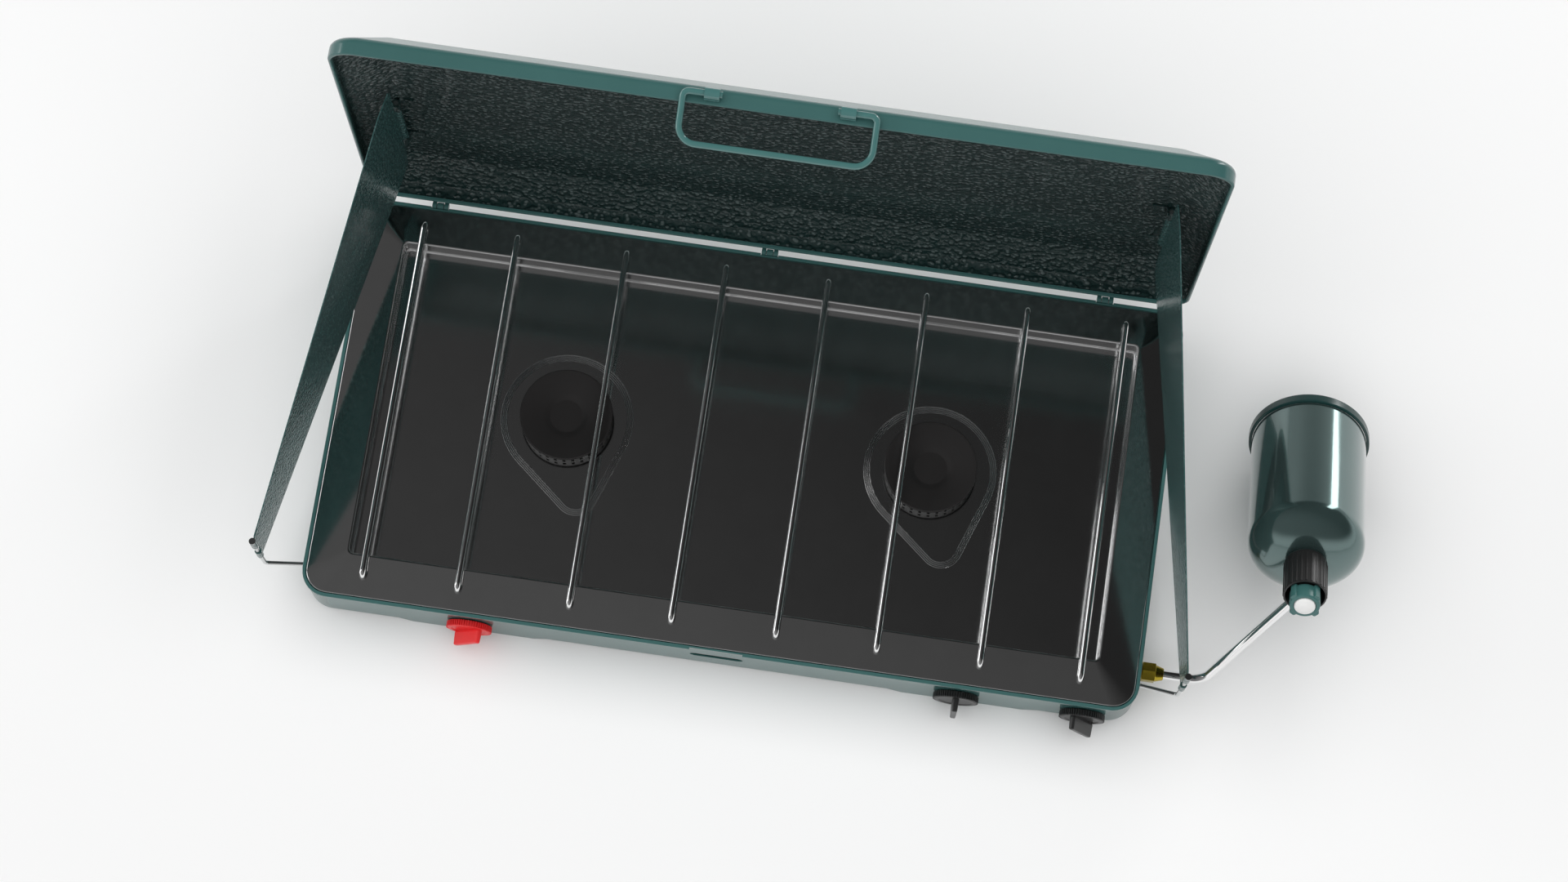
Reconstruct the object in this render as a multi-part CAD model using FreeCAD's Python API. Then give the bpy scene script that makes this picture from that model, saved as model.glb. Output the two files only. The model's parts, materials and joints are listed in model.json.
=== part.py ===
import FreeCAD, Part
import os
from math import cos, sin, tan, pi, radians, sqrt
from FreeCAD import Vector as V

# Two-burner camping stove with its lid up, its wind sheets hooked on and its
# gas cylinder connected. Working frame, in mm: the origin is the centre of the
# case's top rim, +X to the right, +Y to the rear, +Z up. The last lines move
# every solid so that the row's origin is the bottom centre of its box.

# ---- driving sizes ----------------------------------------------------------
CASE_W, CASE_D, CASE_H = 550.0, 271.65, 42.9     # case outside, rim to floor
CASE_R, SHEET = 17.5, 1.0                        # corner radius, sheet metal
FOOT_DROP, FOOT_W, FOOT_IN = 5.9, 100.0, 112.0   # stamped foot ridges, middle from the case's side
HEM_W, HEM_H, HEM_PROUD = 2.4, 3.0, 1.25         # rolled rim, and how far it overhangs the front
LATCH_W, LATCH_H, LATCH_Z = 35.0, 7.5, -20.9

MARGIN_SIDE, MARGIN_FRONT, MARGIN_REAR = 28.8, 29.5, 28.5    # case outside to the tray's well
TRAY_T, TRAY_GAP, TRAY_RISE, WELL_FLOOR, WELL_R = 0.8, 0.3, 3.7, -12.5, 3.2
ROD_R, ROD_Z, ROD_FRONT_IN, ROD_REAR_IN = 2.15, 7.2, 14.6, 14.35
ROD_LEFT_IN, ROD_RIGHT_IN = 40.5, 39.0           # end rods from the case's sides
ROD_GAPS = (62.5, 73.5, 67.0, 68.5, 66.0, 67.5, 65.5)        # spread to fill the width between them

BURNER_IN, BURNER_BACK, BURNER_R = 124.9, 100.5, 30.7        # from the well's end and its rear edge
BURNER_SLOTS, VENTURI_TURN, VENTURI_L, VENTURI_Z = 32, 15.7, 92.0, -27.0
VENTURI_R, MOUTH_L, JET_R, BOWL_LOW, PIPE_R = 8.6, 5.0, 2.5, -38.0, 2.5
BEAD_R, BEAD_TIP, BEAD_TIP_R = 41.8, 52.0, 12.0  # raised bead round a burner

KNOB_R, KNOB_T, KNOB_Y, KNOB_Z = 15.0, 4.6, 0.4, -27.5
GRIP_L, GRIP_W, GRIP_H = 26.5, 4.3, 9.1
STEM_R, KNOB_TEETH = 3.0, 60
IGNITER_IN, VALVE_1_IN, VALVE_2_IN = 111.2, 116.2, 33.0      # from the left side, and the right
IGNITER_TURN, VALVE_1_TURN, VALVE_2_TURN = -41.0, 0.0, 32.0

HINGE_LEFT_IN, HINGE_MID, HINGE_RIGHT_IN = 47.6, -4.7, 54.3
HINGE_Y, HINGE_Z = 1.3, -1.65                    # axis: behind the case, below rim
KNUCKLE_R, PIN_R, HINGE_W = 2.4, 1.2, 11.0

LID_GAP, LID_H, LID_LIFT = 3.3, 270.25, -0.25    # behind the case, height, lower edge to the rim
LID_WALL, LID_CHAMFER, LID_DEPTH = 10.6, 28.0, 24.1
BAIL_R, BAIL_W, BAIL_L, BAIL_CORNER, BAIL_DROP = 2.05, 117.0, 31.0, 11.0, 20.0
CLIP_X, CLIP_L, CLIP_R, PIVOT_RISE = 41.0, 9.4, 3.5, 4.4

SHIELD_T, SHIELD_ROOT, SHIELD_STAND, SHIELD_OUT = 0.8, 1.2, 4.2, 25.3
SHIELD_FRONT = 16.25                             # front end behind the front wall
SHIELD_TOP, SHIELD_NOSE, SHIELD_LOW = 168.5, 57.0, 15.2
SHIELD_ROD_R, TAB_Z, TAB_H, TAB_L, TAB_R = 1.6, (69.0, 131.0), 9.0, 11.0, 2.9
HOOK_R, HOOK_Z, HOOK_IN, HOOK_SLOT = 1.4, -5.5, 19.05, 8.0

INLET_Y, INLET_Z = 32.15, -25.0                  # behind the front wall, below rim
NUT_L, NUT_AF, TUBE_R, TUBE_RUN = 8.5, 11.8, 3.1, 42.1
CYL_R, CYL_TILT, CYL_BODY, DOME_H = 37.6, 31.45, 98.0, 18.5
RING_R, RING_H, CYL_TO_TUBE, CYL_OUT = 39.6, 7.0, 140.5, 49.9
REG_R, REG_NEAR, REG_FAR = 14.2, 6.1, 23.9
WHEEL_R, WHEEL_L, WHEEL_LOBES, LOBE_W, LOBE_H, LOBE_TURN = 11.5, 10.4, 4, 4.7, 1.7, 52.0
CAP_R = 6.75

RUN = 0.05                                       # radial running clearance

# ---- small tools ------------------------------------------------------------
X, Y, Z = V(1, 0, 0), V(0, 1, 0), V(0, 0, 1)


def box(x0, x1, y0, y1, z0, z1):
    return Part.makeBox(x1 - x0, y1 - y0, z1 - z0, V(x0, y0, z0))


def cyl(p, d, r, h):
    return Part.makeCylinder(r, h, p, d)


def ring(p, d, r_out, r_in, h):
    return cyl(p, d, r_out, h).cut(cyl(p - d * 1, d, r_in, h + 2))


def rrect(w, d, r, z, mid_y=0.0):
    """Rounded rectangle wire centred on x = 0, y = mid_y."""
    a, b, k = w / 2, d / 2, r * (1 - sqrt(0.5))
    pts = [(a - r, -b), (a - k, -b + k), (a, -b + r), (a, b - r), (a - k, b - k),
           (a - r, b), (-a + r, b), (-a + k, b - k), (-a, b - r), (-a, -b + r),
           (-a + k, -b + k), (-a + r, -b)]
    p = [V(u, v + mid_y, z) for u, v in pts]
    edges = []
    for i in (0, 3, 6, 9):
        edges.append(Part.Arc(p[i], p[i + 1], p[i + 2]).toShape())
        edges.append(Part.makeLine(p[i + 2], p[(i + 3) % 12]))
    return Part.Wire(edges)


def prism(w, d, r, z0, z1, mid_y=0.0):
    return Part.Face(rrect(w, d, r, z0, mid_y)).extrude(V(0, 0, z1 - z0))


def loft(*wires):
    return Part.makeLoft(list(wires), True, True)


def plate(points, thickness):
    """Closed polygon of 3-D points, extruded by the vector thickness."""
    return Part.Face(Part.makePolygon(points + points[:1])).extrude(thickness)


def turned(profile):
    """Revolve an (r, z) profile about the Z axis."""
    pts = [V(r, 0, z) for r, z in profile]
    return Part.Face(Part.makePolygon(pts + pts[:1])).revolve(V(0, 0, 0), Z, 360)


def round_edges(solid, r, pick):
    edges = [e for e in solid.Edges if pick(e)]
    return solid.makeFillet(r, edges) if edges else solid


def wire_rod(points, bends, r):
    """Round bar through the points, with one bend radius for each inner point."""
    parts, start = [], points[0]
    for i in range(1, len(points)):
        end = points[i]
        if i < len(points) - 1 and bends[i - 1] > 0:
            u = (points[i] - points[i - 1]).normalize()
            v = (points[i + 1] - points[i]).normalize()
            angle = u.getAngle(v)
            cut = bends[i - 1] * tan(angle / 2)
            end = points[i] - u * cut
            n = u.cross(v).normalize()
            centre = end + n.cross(u) * bends[i - 1]
            disc = Part.Face(Part.Wire(Part.makeCircle(r, end, u)))
            parts.append(disc.revolve(centre, n, angle * 180 / pi))
            nxt = points[i] + v * cut
        else:
            nxt = end
        parts.append(cyl(start, (end - start).normalize(), r, (end - start).Length))
        start = nxt
    return parts[0].multiFuse(parts[1:]).removeSplitter() if len(parts) > 1 else parts[0]


def mirror_x(shape):
    return shape.mirror(V(0, 0, 0), X)


def along(shape, origin, direction):
    """Place a shape drawn about +Z so that its axis runs along direction."""
    out = shape.copy()
    out.Placement = FreeCAD.Placement(origin, FreeCAD.Rotation(Z, direction))
    return out


half_w, half_d = CASE_W / 2, CASE_D / 2
ground = -CASE_H - FOOT_DROP
nodes = {}

# ---- case -------------------------------------------------------------------


def foot_ridge(cx, grow):
    a, z_top, z_low = FOOT_W / 2 - grow, -CASE_H + SHEET * (grow > 0), ground + SHEET * (grow > 0)
    pts = [V(cx - a, -half_d, z_top), V(cx - a + 10, -half_d, z_low),
           V(cx + a - 10, -half_d, z_low), V(cx + a, -half_d, z_top)]
    return plate(pts, V(0, CASE_D, 0))


def case_block(inset, z_floor, z_low, z_top):
    w, d, r = CASE_W - 2 * inset, CASE_D - 2 * inset, CASE_R - inset
    block = prism(w, d, r, z_floor, z_top)
    under = prism(w, d, r, z_low, z_floor + 0.001)
    for cx in (FOOT_IN - half_w, half_w - FOOT_IN):
        block = block.fuse(under.common(foot_ridge(cx, 0.8 if inset else 0)))
    return block.removeSplitter()


def stadium(cx, cz, w, h, y0, y1):
    body = box(cx - w / 2 + h / 2, cx + w / 2 - h / 2, y0, y1, cz - h / 2, cz + h / 2)
    ends = [cyl(V(cx + k * (w - h) / 2, y0, cz), Y, h / 2, y1 - y0) for k in (-1, 1)]
    return body.multiFuse(ends)


outer = case_block(0, -CASE_H, ground, 0)
outer = round_edges(outer, 0.5, lambda e: abs(e.BoundBox.ZMin) < 1e-6)
case = outer.cut(case_block(SHEET, -CASE_H + SHEET, ground + SHEET, 1))
corner_x, corner_y = half_w - CASE_R, half_d - CASE_R
hem_side, hem_front, hem_rear = half_w - 0.2, half_d + HEM_PROUD, half_d - 0.2
hem_mid, hem_d = (hem_rear - hem_front) / 2, hem_rear + hem_front
edge_w, edge_d = 2 * (half_w - HEM_W), CASE_D + HEM_PROUD - 2 * HEM_W
edge_mid, edge_r = -HEM_PROUD / 2, CASE_R - HEM_W
hem = prism(2 * hem_side, hem_d, CASE_R, -HEM_H, -0.05, hem_mid)
hem = hem.cut(prism(edge_w, edge_d, edge_r, -HEM_H - 1, 1, edge_mid))
hem = round_edges(hem, 0.6, lambda e: e.BoundBox.ZMin > -0.06)
hem = hem.cut(box(-LATCH_W / 2, LATCH_W / 2, -hem_front - 1, -half_d + SHEET, -HEM_H - 1, 1))
case = case.fuse(hem)

hinge_y, hinge_z = half_d + HINGE_Y, HINGE_Z
cuts = [stadium(0, LATCH_Z, LATCH_W, LATCH_H, -half_d - 1, -half_d + 3)]
igniter_x, valve_x = IGNITER_IN - half_w, (half_w - VALVE_1_IN, half_w - VALVE_2_IN)
for x in (igniter_x,) + valve_x:
    cuts.append(cyl(V(x, -half_d - 1, KNOB_Z), Y, STEM_R + 1.5, 4))
hinge_x = (HINGE_LEFT_IN - half_w, HINGE_MID, half_w - HINGE_RIGHT_IN)
for x in hinge_x:
    cuts.append(box(x - HINGE_W / 2 - 0.4, x + HINGE_W / 2 + 0.4, hinge_y - KNUCKLE_R - 0.4, half_d + 1,
                    hinge_z - KNUCKLE_R - 0.5, 1))
inlet_y = -half_d + INLET_Y
cuts.append(cyl(V(half_w - 4, inlet_y, INLET_Z), X, 4.3, 6))
hook_y = -half_d + HOOK_IN
hook_slot = box(half_w - 4, half_w + 1, hook_y - HOOK_SLOT / 2, hook_y + HOOK_SLOT / 2,
                HOOK_Z - 2.6, HOOK_Z + 2.3)
cuts += [hook_slot, mirror_x(hook_slot)]
nodes["case_shell"] = case.cut(cuts[0].multiFuse(cuts[1:])).removeSplitter()

# ---- cooktop tray -----------------------------------------------------------
well_w, well_d = CASE_W - 2 * MARGIN_SIDE, CASE_D - MARGIN_FRONT - MARGIN_REAR
well_mid = (MARGIN_FRONT - MARGIN_REAR) / 2
tray_w, tray_d, tray_r = edge_w - 2 * TRAY_GAP, edge_d - 2 * TRAY_GAP, edge_r - TRAY_GAP


def tray_block(t):
    """Everything below the tray's top skin (t = 0) or its under skin."""
    w, d, r = tray_w - 2 * t, tray_d - 2 * t, tray_r - t
    crest = rrect(well_w - 8, well_d - 8, 4, TRAY_RISE + 0.5 - t, well_mid)
    hill = loft(rrect(w, d, r, -t, edge_mid), crest)
    block = hill.fuse(prism(w, d, r, -40, -t, edge_mid)).removeSplitter()
    pocket = prism(well_w + 2 * t, well_d + 2 * t, WELL_R + t, WELL_FLOOR - t, 20, well_mid)
    pocket = round_edges(pocket, 1.0 + t, lambda e: abs(e.BoundBox.ZMax - WELL_FLOOR + t) < 1e-6)
    return block.cut(pocket)


def teardrop(cx, cy, grow, z, h):
    """Circle and tip joined by their common tangents."""
    turn = radians(VENTURI_TURN)
    d = V(sin(turn), -cos(turn), 0)
    n = V(-d.y, d.x, 0)
    c, tip = V(cx, cy, z), V(cx, cy, z) + d * BEAD_TIP
    r, q = BEAD_R + grow, BEAD_TIP_R + grow
    k = (r - q) / BEAD_TIP
    s = sqrt(1 - k * k)
    a, b = c + (d * k + n * s) * r, c + (d * k - n * s) * r
    e, f = tip + (d * k + n * s) * q, tip + (d * k - n * s) * q
    wire = Part.Wire([Part.Arc(a, c - d * r, b).toShape(), Part.makeLine(b, f),
                      Part.Arc(f, tip + d * q, e).toShape(), Part.makeLine(e, a)])
    return Part.Face(wire).extrude(V(0, 0, h))


tray = tray_block(0).cut(tray_block(TRAY_T))
skirt = -9.0
below = prism(2 * CASE_W, 2 * CASE_D, CASE_R, -45, skirt).cut(
    prism(well_w + 4, well_d + 4, WELL_R + 2, -46, skirt + 1, well_mid))
tray = tray.cut(below)
burner_x, burner_y = well_w / 2 - BURNER_IN, half_d - MARGIN_REAR - BURNER_BACK
for cx in (-burner_x, burner_x):
    for grow, h in ((2.2, 0.5), (1.2, 0.9)):
        bead = teardrop(cx, burner_y, grow, WELL_FLOOR - 0.2, h + 0.2)
        tray = tray.fuse(bead.cut(teardrop(cx, burner_y, -grow, WELL_FLOOR - 1, 4)))
    tray = tray.cut(cyl(V(cx, burner_y, WELL_FLOOR - 3), Z, BURNER_R - 5.2, 6))
rod_front, rod_rear = -half_d + ROD_FRONT_IN, half_d - ROD_REAR_IN
spread = (CASE_W - ROD_LEFT_IN - ROD_RIGHT_IN) / sum(ROD_GAPS)
rod_x = [ROD_LEFT_IN - half_w + spread * sum(ROD_GAPS[:i]) for i in range(len(ROD_GAPS) + 1)]
for x in rod_x:
    for y in (rod_front, rod_rear):
        tray = tray.cut(cyl(V(x, y, -20), Z, ROD_R + 0.15, 40))
nodes["cooktop_tray"] = tray.removeSplitter()

side_in = half_w - SHEET - 0.02
ledge = box(side_in - 8, side_in, -corner_y + 8, corner_y - 8, skirt - 1.4, skirt - 0.02).fuse(
    box(side_in - 1.2, side_in, -corner_y + 20, corner_y - 8, skirt - 11, skirt - 0.02))
ledge = ledge.cut(box(half_w - 20, half_w, -corner_y - 1, -corner_y + 20, -30, 0))
nodes["tray_ledge_right"] = ledge
nodes["tray_ledge_left"] = mirror_x(ledge)

for i, x in enumerate(rod_x):
    pts = [V(x, rod_front, -4.5), V(x, rod_front, ROD_Z), V(x, rod_rear, ROD_Z), V(x, rod_rear, -4.5)]
    nodes["pot_rod_%d" % (i + 1)] = wire_rod(pts, (4.0, 4.0), ROD_R)

# ---- burners ----------------------------------------------------------------
turn = radians(VENTURI_TURN)
feed = V(sin(turn), -cos(turn), 0)
band_r, under = BURNER_R - 0.9, WELL_FLOOR - TRAY_T
cap_profile = [(0, -4.9), (9, -4.7), (12, -3.6), (14, -3.0), (22, -1.5), (BURNER_R - 2.3, -0.25),
               (BURNER_R - 0.5, 0), (BURNER_R, -0.5), (BURNER_R, -1.9), (BURNER_R - 1.0, -2.6),
               (23.4, -2.6), (14, -4.3), (9, -6.0), (0, -6.2)]
bowl_r, mouth_r = BURNER_R - 3.7, VENTURI_R + 2.4
for label, cx in (("left", -burner_x), ("right", burner_x)):
    c = V(cx, burner_y, 0)
    band = ring(V(cx, burner_y, WELL_FLOOR + 0.02), Z, band_r, band_r - 5, -2.62 - WELL_FLOOR)
    slots = []
    for k in range(BURNER_SLOTS):
        a = 2 * pi * k / BURNER_SLOTS
        slot = box(band_r - 6, band_r + 1, -0.9, 0.9, -11.6, -6.2)
        slot.rotate(V(0, 0, 0), Z, a * 180 / pi)
        slot.translate(c)
        slots.append(slot)
    nodes["burner_head_" + label] = band.cut(slots[0].multiFuse(slots[1:]))
    cap = turned(cap_profile)
    cap.translate(c)
    nodes["burner_cap_" + label] = cap
    flange = cyl(c + V(0, 0, under - 1.22), Z, BURNER_R + 2.3, 1.2)
    out = cyl(c + V(0, 0, BOWL_LOW), Z, bowl_r, under - 0.02 - BOWL_LOW).fuse(flange)
    hollow = cyl(c + V(0, 0, BOWL_LOW + 1), Z, bowl_r - 1.2, -BOWL_LOW)
    mouth = V(cx, burner_y, VENTURI_Z) + feed * VENTURI_L
    start = V(cx, burner_y, VENTURI_Z) + feed * 20
    out = out.fuse(cyl(start, feed, VENTURI_R, VENTURI_L - 20))
    out = out.fuse(Part.makeCone(VENTURI_R, mouth_r, MOUTH_L, mouth, feed))
    hollow = hollow.fuse(cyl(start, feed, VENTURI_R - 1, VENTURI_L - 20))
    hollow = hollow.fuse(Part.makeCone(VENTURI_R - 1, mouth_r - 1, MOUTH_L + 0.01, mouth, feed))
    nodes["burner_bowl_" + label] = out.cut(hollow).removeSplitter()

# ---- gas train inside the case ----------------------------------------------
front_in = -half_d + SHEET
valve_w, valve_h, stem_l = 8.0, 6.0, 19.5
for i, x in enumerate(valve_x):
    body = box(x - valve_w, x + valve_w, front_in + 0.02, inlet_y + 6, KNOB_Z - valve_h, KNOB_Z + valve_h)
    body = body.cut(cyl(V(x, front_in - 1, KNOB_Z), Y, STEM_R + RUN, stem_l + 1))
    nodes["valve_body_%d" % (i + 1)] = body
first, second = [V(x + valve_w + 0.02, inlet_y, INLET_Z) for x in valve_x]
pipe_end = half_w - SHEET - 12 - 0.04
manifold = cyl(first, X, 3.0, second.x - first.x - 2 * valve_w - 0.04)
nodes["manifold_pipes"] = Part.makeCompound([manifold, cyl(second, X, 3.0, pipe_end - second.x)])

tip_r = V(burner_x, burner_y, VENTURI_Z) + feed * (VENTURI_L + MOUTH_L + 3)
jet_start = V(burner_x, burner_y, VENTURI_Z) + feed * ((burner_y - inlet_y - 6.3) / cos(turn))
nodes["jet_right"] = cyl(jet_start, feed * -1, JET_R, (jet_start - tip_r).Length)
tip_l = V(-burner_x, burner_y, VENTURI_Z) + feed * (VENTURI_L + MOUTH_L + 3)
jet_x = (V(-burner_x, burner_y, VENTURI_Z) + feed * (VENTURI_L + 36)).x
low, riser_y = -CASE_H + SHEET + PIPE_R + 0.9, inlet_y - 12
nodes["crossover_pipe"] = wire_rod(
    [V(valve_x[1], riser_y, KNOB_Z - valve_h - 0.04), V(valve_x[1], riser_y, low), V(jet_x, riser_y, low),
     V(jet_x, riser_y, VENTURI_Z), tip_l],
    (4.0, 6.0, 4.0), PIPE_R)

fitting = ring(V(half_w + 0.02, inlet_y, INLET_Z), X, 7.0, 2.0, 1.7).multiFuse(
    [ring(V(half_w - SHEET - 12, inlet_y, INLET_Z), X, 4.0, 2.0, SHEET + 21),
     ring(V(half_w - SHEET - 3.02, inlet_y, INLET_Z), X, 8.0, 3.9, 3.0)])
nodes["inlet_fitting"] = fitting.removeSplitter()

igniter = box(igniter_x - 13, igniter_x + 13, front_in + 0.02, front_in + 26, KNOB_Z - 13, KNOB_Z + 11)
nodes["igniter_body"] = igniter.cut(cyl(V(igniter_x, front_in - 1, KNOB_Z), Y, STEM_R + RUN, stem_l + 1))

# ---- knobs ------------------------------------------------------------------
back_y, bore = -half_d - KNOB_Y, KNOB_T - 0.8        # knob's back, and depth of its bore


def knob(x, turn_deg):
    rim = []
    for k in range(2 * KNOB_TEETH):
        r = KNOB_R if k % 2 else KNOB_R - 0.4
        rim.append(V(r * cos(pi * k / KNOB_TEETH), 0, r * sin(pi * k / KNOB_TEETH)))
    disc = plate(rim, V(0, -KNOB_T, 0))
    grip = box(-GRIP_W / 2, GRIP_W / 2, -KNOB_T - GRIP_H, -KNOB_T + 0.5, -GRIP_L / 2, GRIP_L / 2)
    grip = round_edges(grip, 0.6, lambda e: e.BoundBox.YMax < -KNOB_T)
    hub = cyl(V(0, 0, 0), Y, STEM_R + 1, KNOB_Y + 0.5)
    body = disc.multiFuse([grip, hub]).cut(cyl(V(0, 3, 0), V(0, -1, 0), STEM_R - 0.02, bore + 3))
    body.rotate(V(0, 0, 0), V(0, -1, 0), turn_deg)
    body.translate(V(x, back_y, KNOB_Z))
    return body.removeSplitter()


for name, x, a in (("igniter_knob", igniter_x, IGNITER_TURN), ("valve_knob_1", valve_x[0], VALVE_1_TURN),
                   ("valve_knob_2", valve_x[1], VALVE_2_TURN)):
    nodes[name] = knob(x, a)
    shaft = cyl(V(x, back_y - bore + 0.1, KNOB_Z), Y, STEM_R - 0.04, bore + KNOB_Y + SHEET - 0.5)
    stem = shaft.fuse(cyl(V(x, front_in - 0.8, KNOB_Z), Y, STEM_R, stem_l))
    nodes[name.replace("knob", "stem")] = stem.removeSplitter()

# ---- lid hinges -------------------------------------------------------------
leaf_base, leaf_lid, pins = [], [], []
lid_y = half_d + LID_GAP
for x in hinge_x:
    p = V(x, hinge_y, hinge_z)
    mid = box(x - 2.2, x + 2.2, half_d + 0.02, hinge_y + 0.6, hinge_z - 4.5, hinge_z)
    leaf = box(x - HINGE_W / 2, x + HINGE_W / 2, half_d + 0.02, half_d + 1.2, hinge_z - 22, hinge_z - 4)
    mid = mid.multiFuse([cyl(p - X * 2.2, X, KNUCKLE_R, 4.4), leaf])
    leaf_base.append(mid.cut(cyl(p - X * 3, X, PIN_R + RUN, 6)).removeSplitter())
    side_a = cyl(p - X * 5.5, X, KNUCKLE_R, 2.9).fuse(cyl(p + X * 2.6, X, KNUCKLE_R, 2.9))
    strap = box(x - 5.5, x + 5.5, lid_y + 0.9, lid_y + 9.5, -1.47, -0.27)
    arms = box(x - 5.5, x - 2.6, hinge_y + 0.4, lid_y + 2, -1.47, -0.27).fuse(
        box(x + 2.6, x + 5.5, hinge_y + 0.4, lid_y + 2, -1.47, -0.27))
    leaf_lid.append(side_a.multiFuse([strap, arms]).cut(cyl(p - X * 7, X, PIN_R + 0.02, 14)).removeSplitter())
    pins.append(cyl(p - X * 5.4, X, PIN_R, 10.8))
nodes["hinge_base_leaves"] = Part.makeCompound(leaf_base)
nodes["hinge_lid_leaves"] = Part.makeCompound(leaf_lid)
nodes["hinge_pins"] = Part.makeCompound(pins)

# ---- lid (drawn lying in XY with its panel down, then stood up) ---------------
mid_z, lid_top = LID_LIFT + LID_H / 2, LID_LIFT + LID_H
slope = (LID_DEPTH - LID_WALL) / LID_CHAMFER
panel_in = lid_y + LID_DEPTH - SHEET
wall_in = lid_y + LID_WALL + SHEET * slope - SHEET * sqrt(1 + slope * slope)
taper_in = (panel_in - wall_in) / slope
flat_x = half_w - SHEET - taper_in               # where the inner flat panel meets its slope


def lid_block(t, wall, panel, taper):
    """Everything inside the lid's skin, whose faces stand t inside the outer ones."""
    w, d, r = CASE_W - 2 * t, LID_H - 2 * t, CASE_R - t
    body = prism(w, d, r, -wall, -lid_y + t)
    cone = loft(rrect(w, d, r, -wall), rrect(w - 2 * taper, d - 2 * taper, 7, -panel))
    return body.fuse(cone).removeSplitter()


lid = lid_block(0, lid_y + LID_WALL, lid_y + LID_DEPTH, LID_CHAMFER)
lid = lid.cut(lid_block(SHEET, wall_in, panel_in, taper_in))
roll = prism(CASE_W - 0.4, LID_H - 0.4, CASE_R, -lid_y - HEM_H, -lid_y - 0.1)
roll = roll.cut(prism(CASE_W - 2 * HEM_W, LID_H - 2 * HEM_W, CASE_R - HEM_W, -lid_y - HEM_H - 1, 0))
lid = lid.fuse(roll)
lid.rotate(V(0, 0, 0), X, 90)
lid.translate(V(0, 0, mid_z))
for x in hinge_x:
    lid = lid.cut(box(x - HINGE_W / 2 - 0.5, x + HINGE_W / 2 + 0.5, lid_y - 1, hinge_y + KNUCKLE_R + 0.5,
                      LID_LIFT - 1, hinge_z + KNUCKLE_R + 0.5))
nodes["lid_shell"] = lid.removeSplitter()

# ---- handle -----------------------------------------------------------------
pivot = V(0, lid_y + 5.5, lid_top + PIVOT_RISE)
clips = []
for k in (-1, 1):
    x0 = k * CLIP_X - CLIP_L / 2
    clip = cyl(V(x0, pivot.y, pivot.z), X, CLIP_R, CLIP_L).fuse(
        box(x0, x0 + CLIP_L, pivot.y - 3.4, pivot.y + 3.4, lid_top + 0.02, lid_top + 2))
    clips.append(clip.cut(cyl(V(x0 - 1, pivot.y, pivot.z), X, BAIL_R + RUN, CLIP_L + 2)).removeSplitter())
nodes["handle_clips"] = Part.makeCompound(clips)
reach = V(0, -cos(radians(BAIL_DROP)), -sin(radians(BAIL_DROP))) * BAIL_L
a, b = pivot + X * (BAIL_W / 2), pivot - X * (BAIL_W / 2)
in_r, in_l = pivot + X * (CLIP_X - CLIP_L / 2 - 1.5), pivot - X * (CLIP_X - CLIP_L / 2 - 1.5)
nodes["handle_bail"] = wire_rod([in_r, a, a + reach, b + reach, b, in_l],
                                (4.0, BAIL_CORNER, BAIL_CORNER, 4.0), BAIL_R)

# ---- wind sheets, their hinges and hook wires ---------------------------------
ws_root = V(flat_x + SHIELD_ROOT, panel_in - SHIELD_STAND, 0)
ws_tip = V(half_w + SHIELD_OUT, -half_d + SHIELD_FRONT, 0)
ws_dir = (ws_tip - ws_root).normalize()
ws_len = (ws_tip - ws_root).Length
ws_side = V(-ws_dir.y, ws_dir.x, 0)


def at(s, z, off=0.0):
    return ws_root + ws_dir * s + ws_side * off + V(0, 0, z)


sleeve_z0, sleeve_z1 = TAB_Z[0] + TAB_H / 2 + 0.7, TAB_Z[1] - TAB_H / 2 - 0.7
end_s = ws_len - 2.6
outline = [(3.9, 60), (3.9, sleeve_z0), (1.9, sleeve_z0), (1.9, sleeve_z1), (3.9, sleeve_z1),
           (3.9, SHIELD_TOP - 3), (5.5, SHIELD_TOP), (23, SHIELD_TOP),
           (end_s - 1, SHIELD_NOSE + 0.8), (end_s, SHIELD_NOSE - 1), (end_s, SHIELD_LOW),
           (0.39 * ws_len, SHIELD_LOW + 9.6), (26, SHIELD_LOW + 15.2), (9, SHIELD_LOW + 17.5),
           (5.5, SHIELD_LOW + 24)]
sheet = plate([at(s, z, -SHIELD_T / 2) for s, z in outline], ws_side * SHIELD_T)
sleeve = ring(at(0, sleeve_z0), Z, 2.5, SHIELD_ROD_R + RUN, sleeve_z1 - sleeve_z0)
sheet = sheet.fuse(sleeve)
loops = ((SHIELD_LOW + 2.5, 12.0), (SHIELD_NOSE - 13.0, 12.0))
for z0, h in loops:
    loop = cyl(at(ws_len, z0), Z, HOOK_R + RUN + SHIELD_T, h)
    corners = ((end_s - 1, z0), (ws_len - 1, z0), (ws_len - 1, z0 + h), (end_s - 1, z0 + h))
    tongue = plate([at(s, z, -SHIELD_T / 2) for s, z in corners], ws_side * SHIELD_T)
    sheet = sheet.fuse(loop.fuse(tongue)).cut(cyl(at(ws_len, z0 - 1), Z, HOOK_R + RUN, h + 2))
sheet = sheet.cut(cyl(at(0, 50), Z, SHIELD_ROD_R + RUN, 100)).removeSplitter()
nodes["windshield_right"], nodes["windshield_left"] = sheet, mirror_x(sheet)

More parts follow.
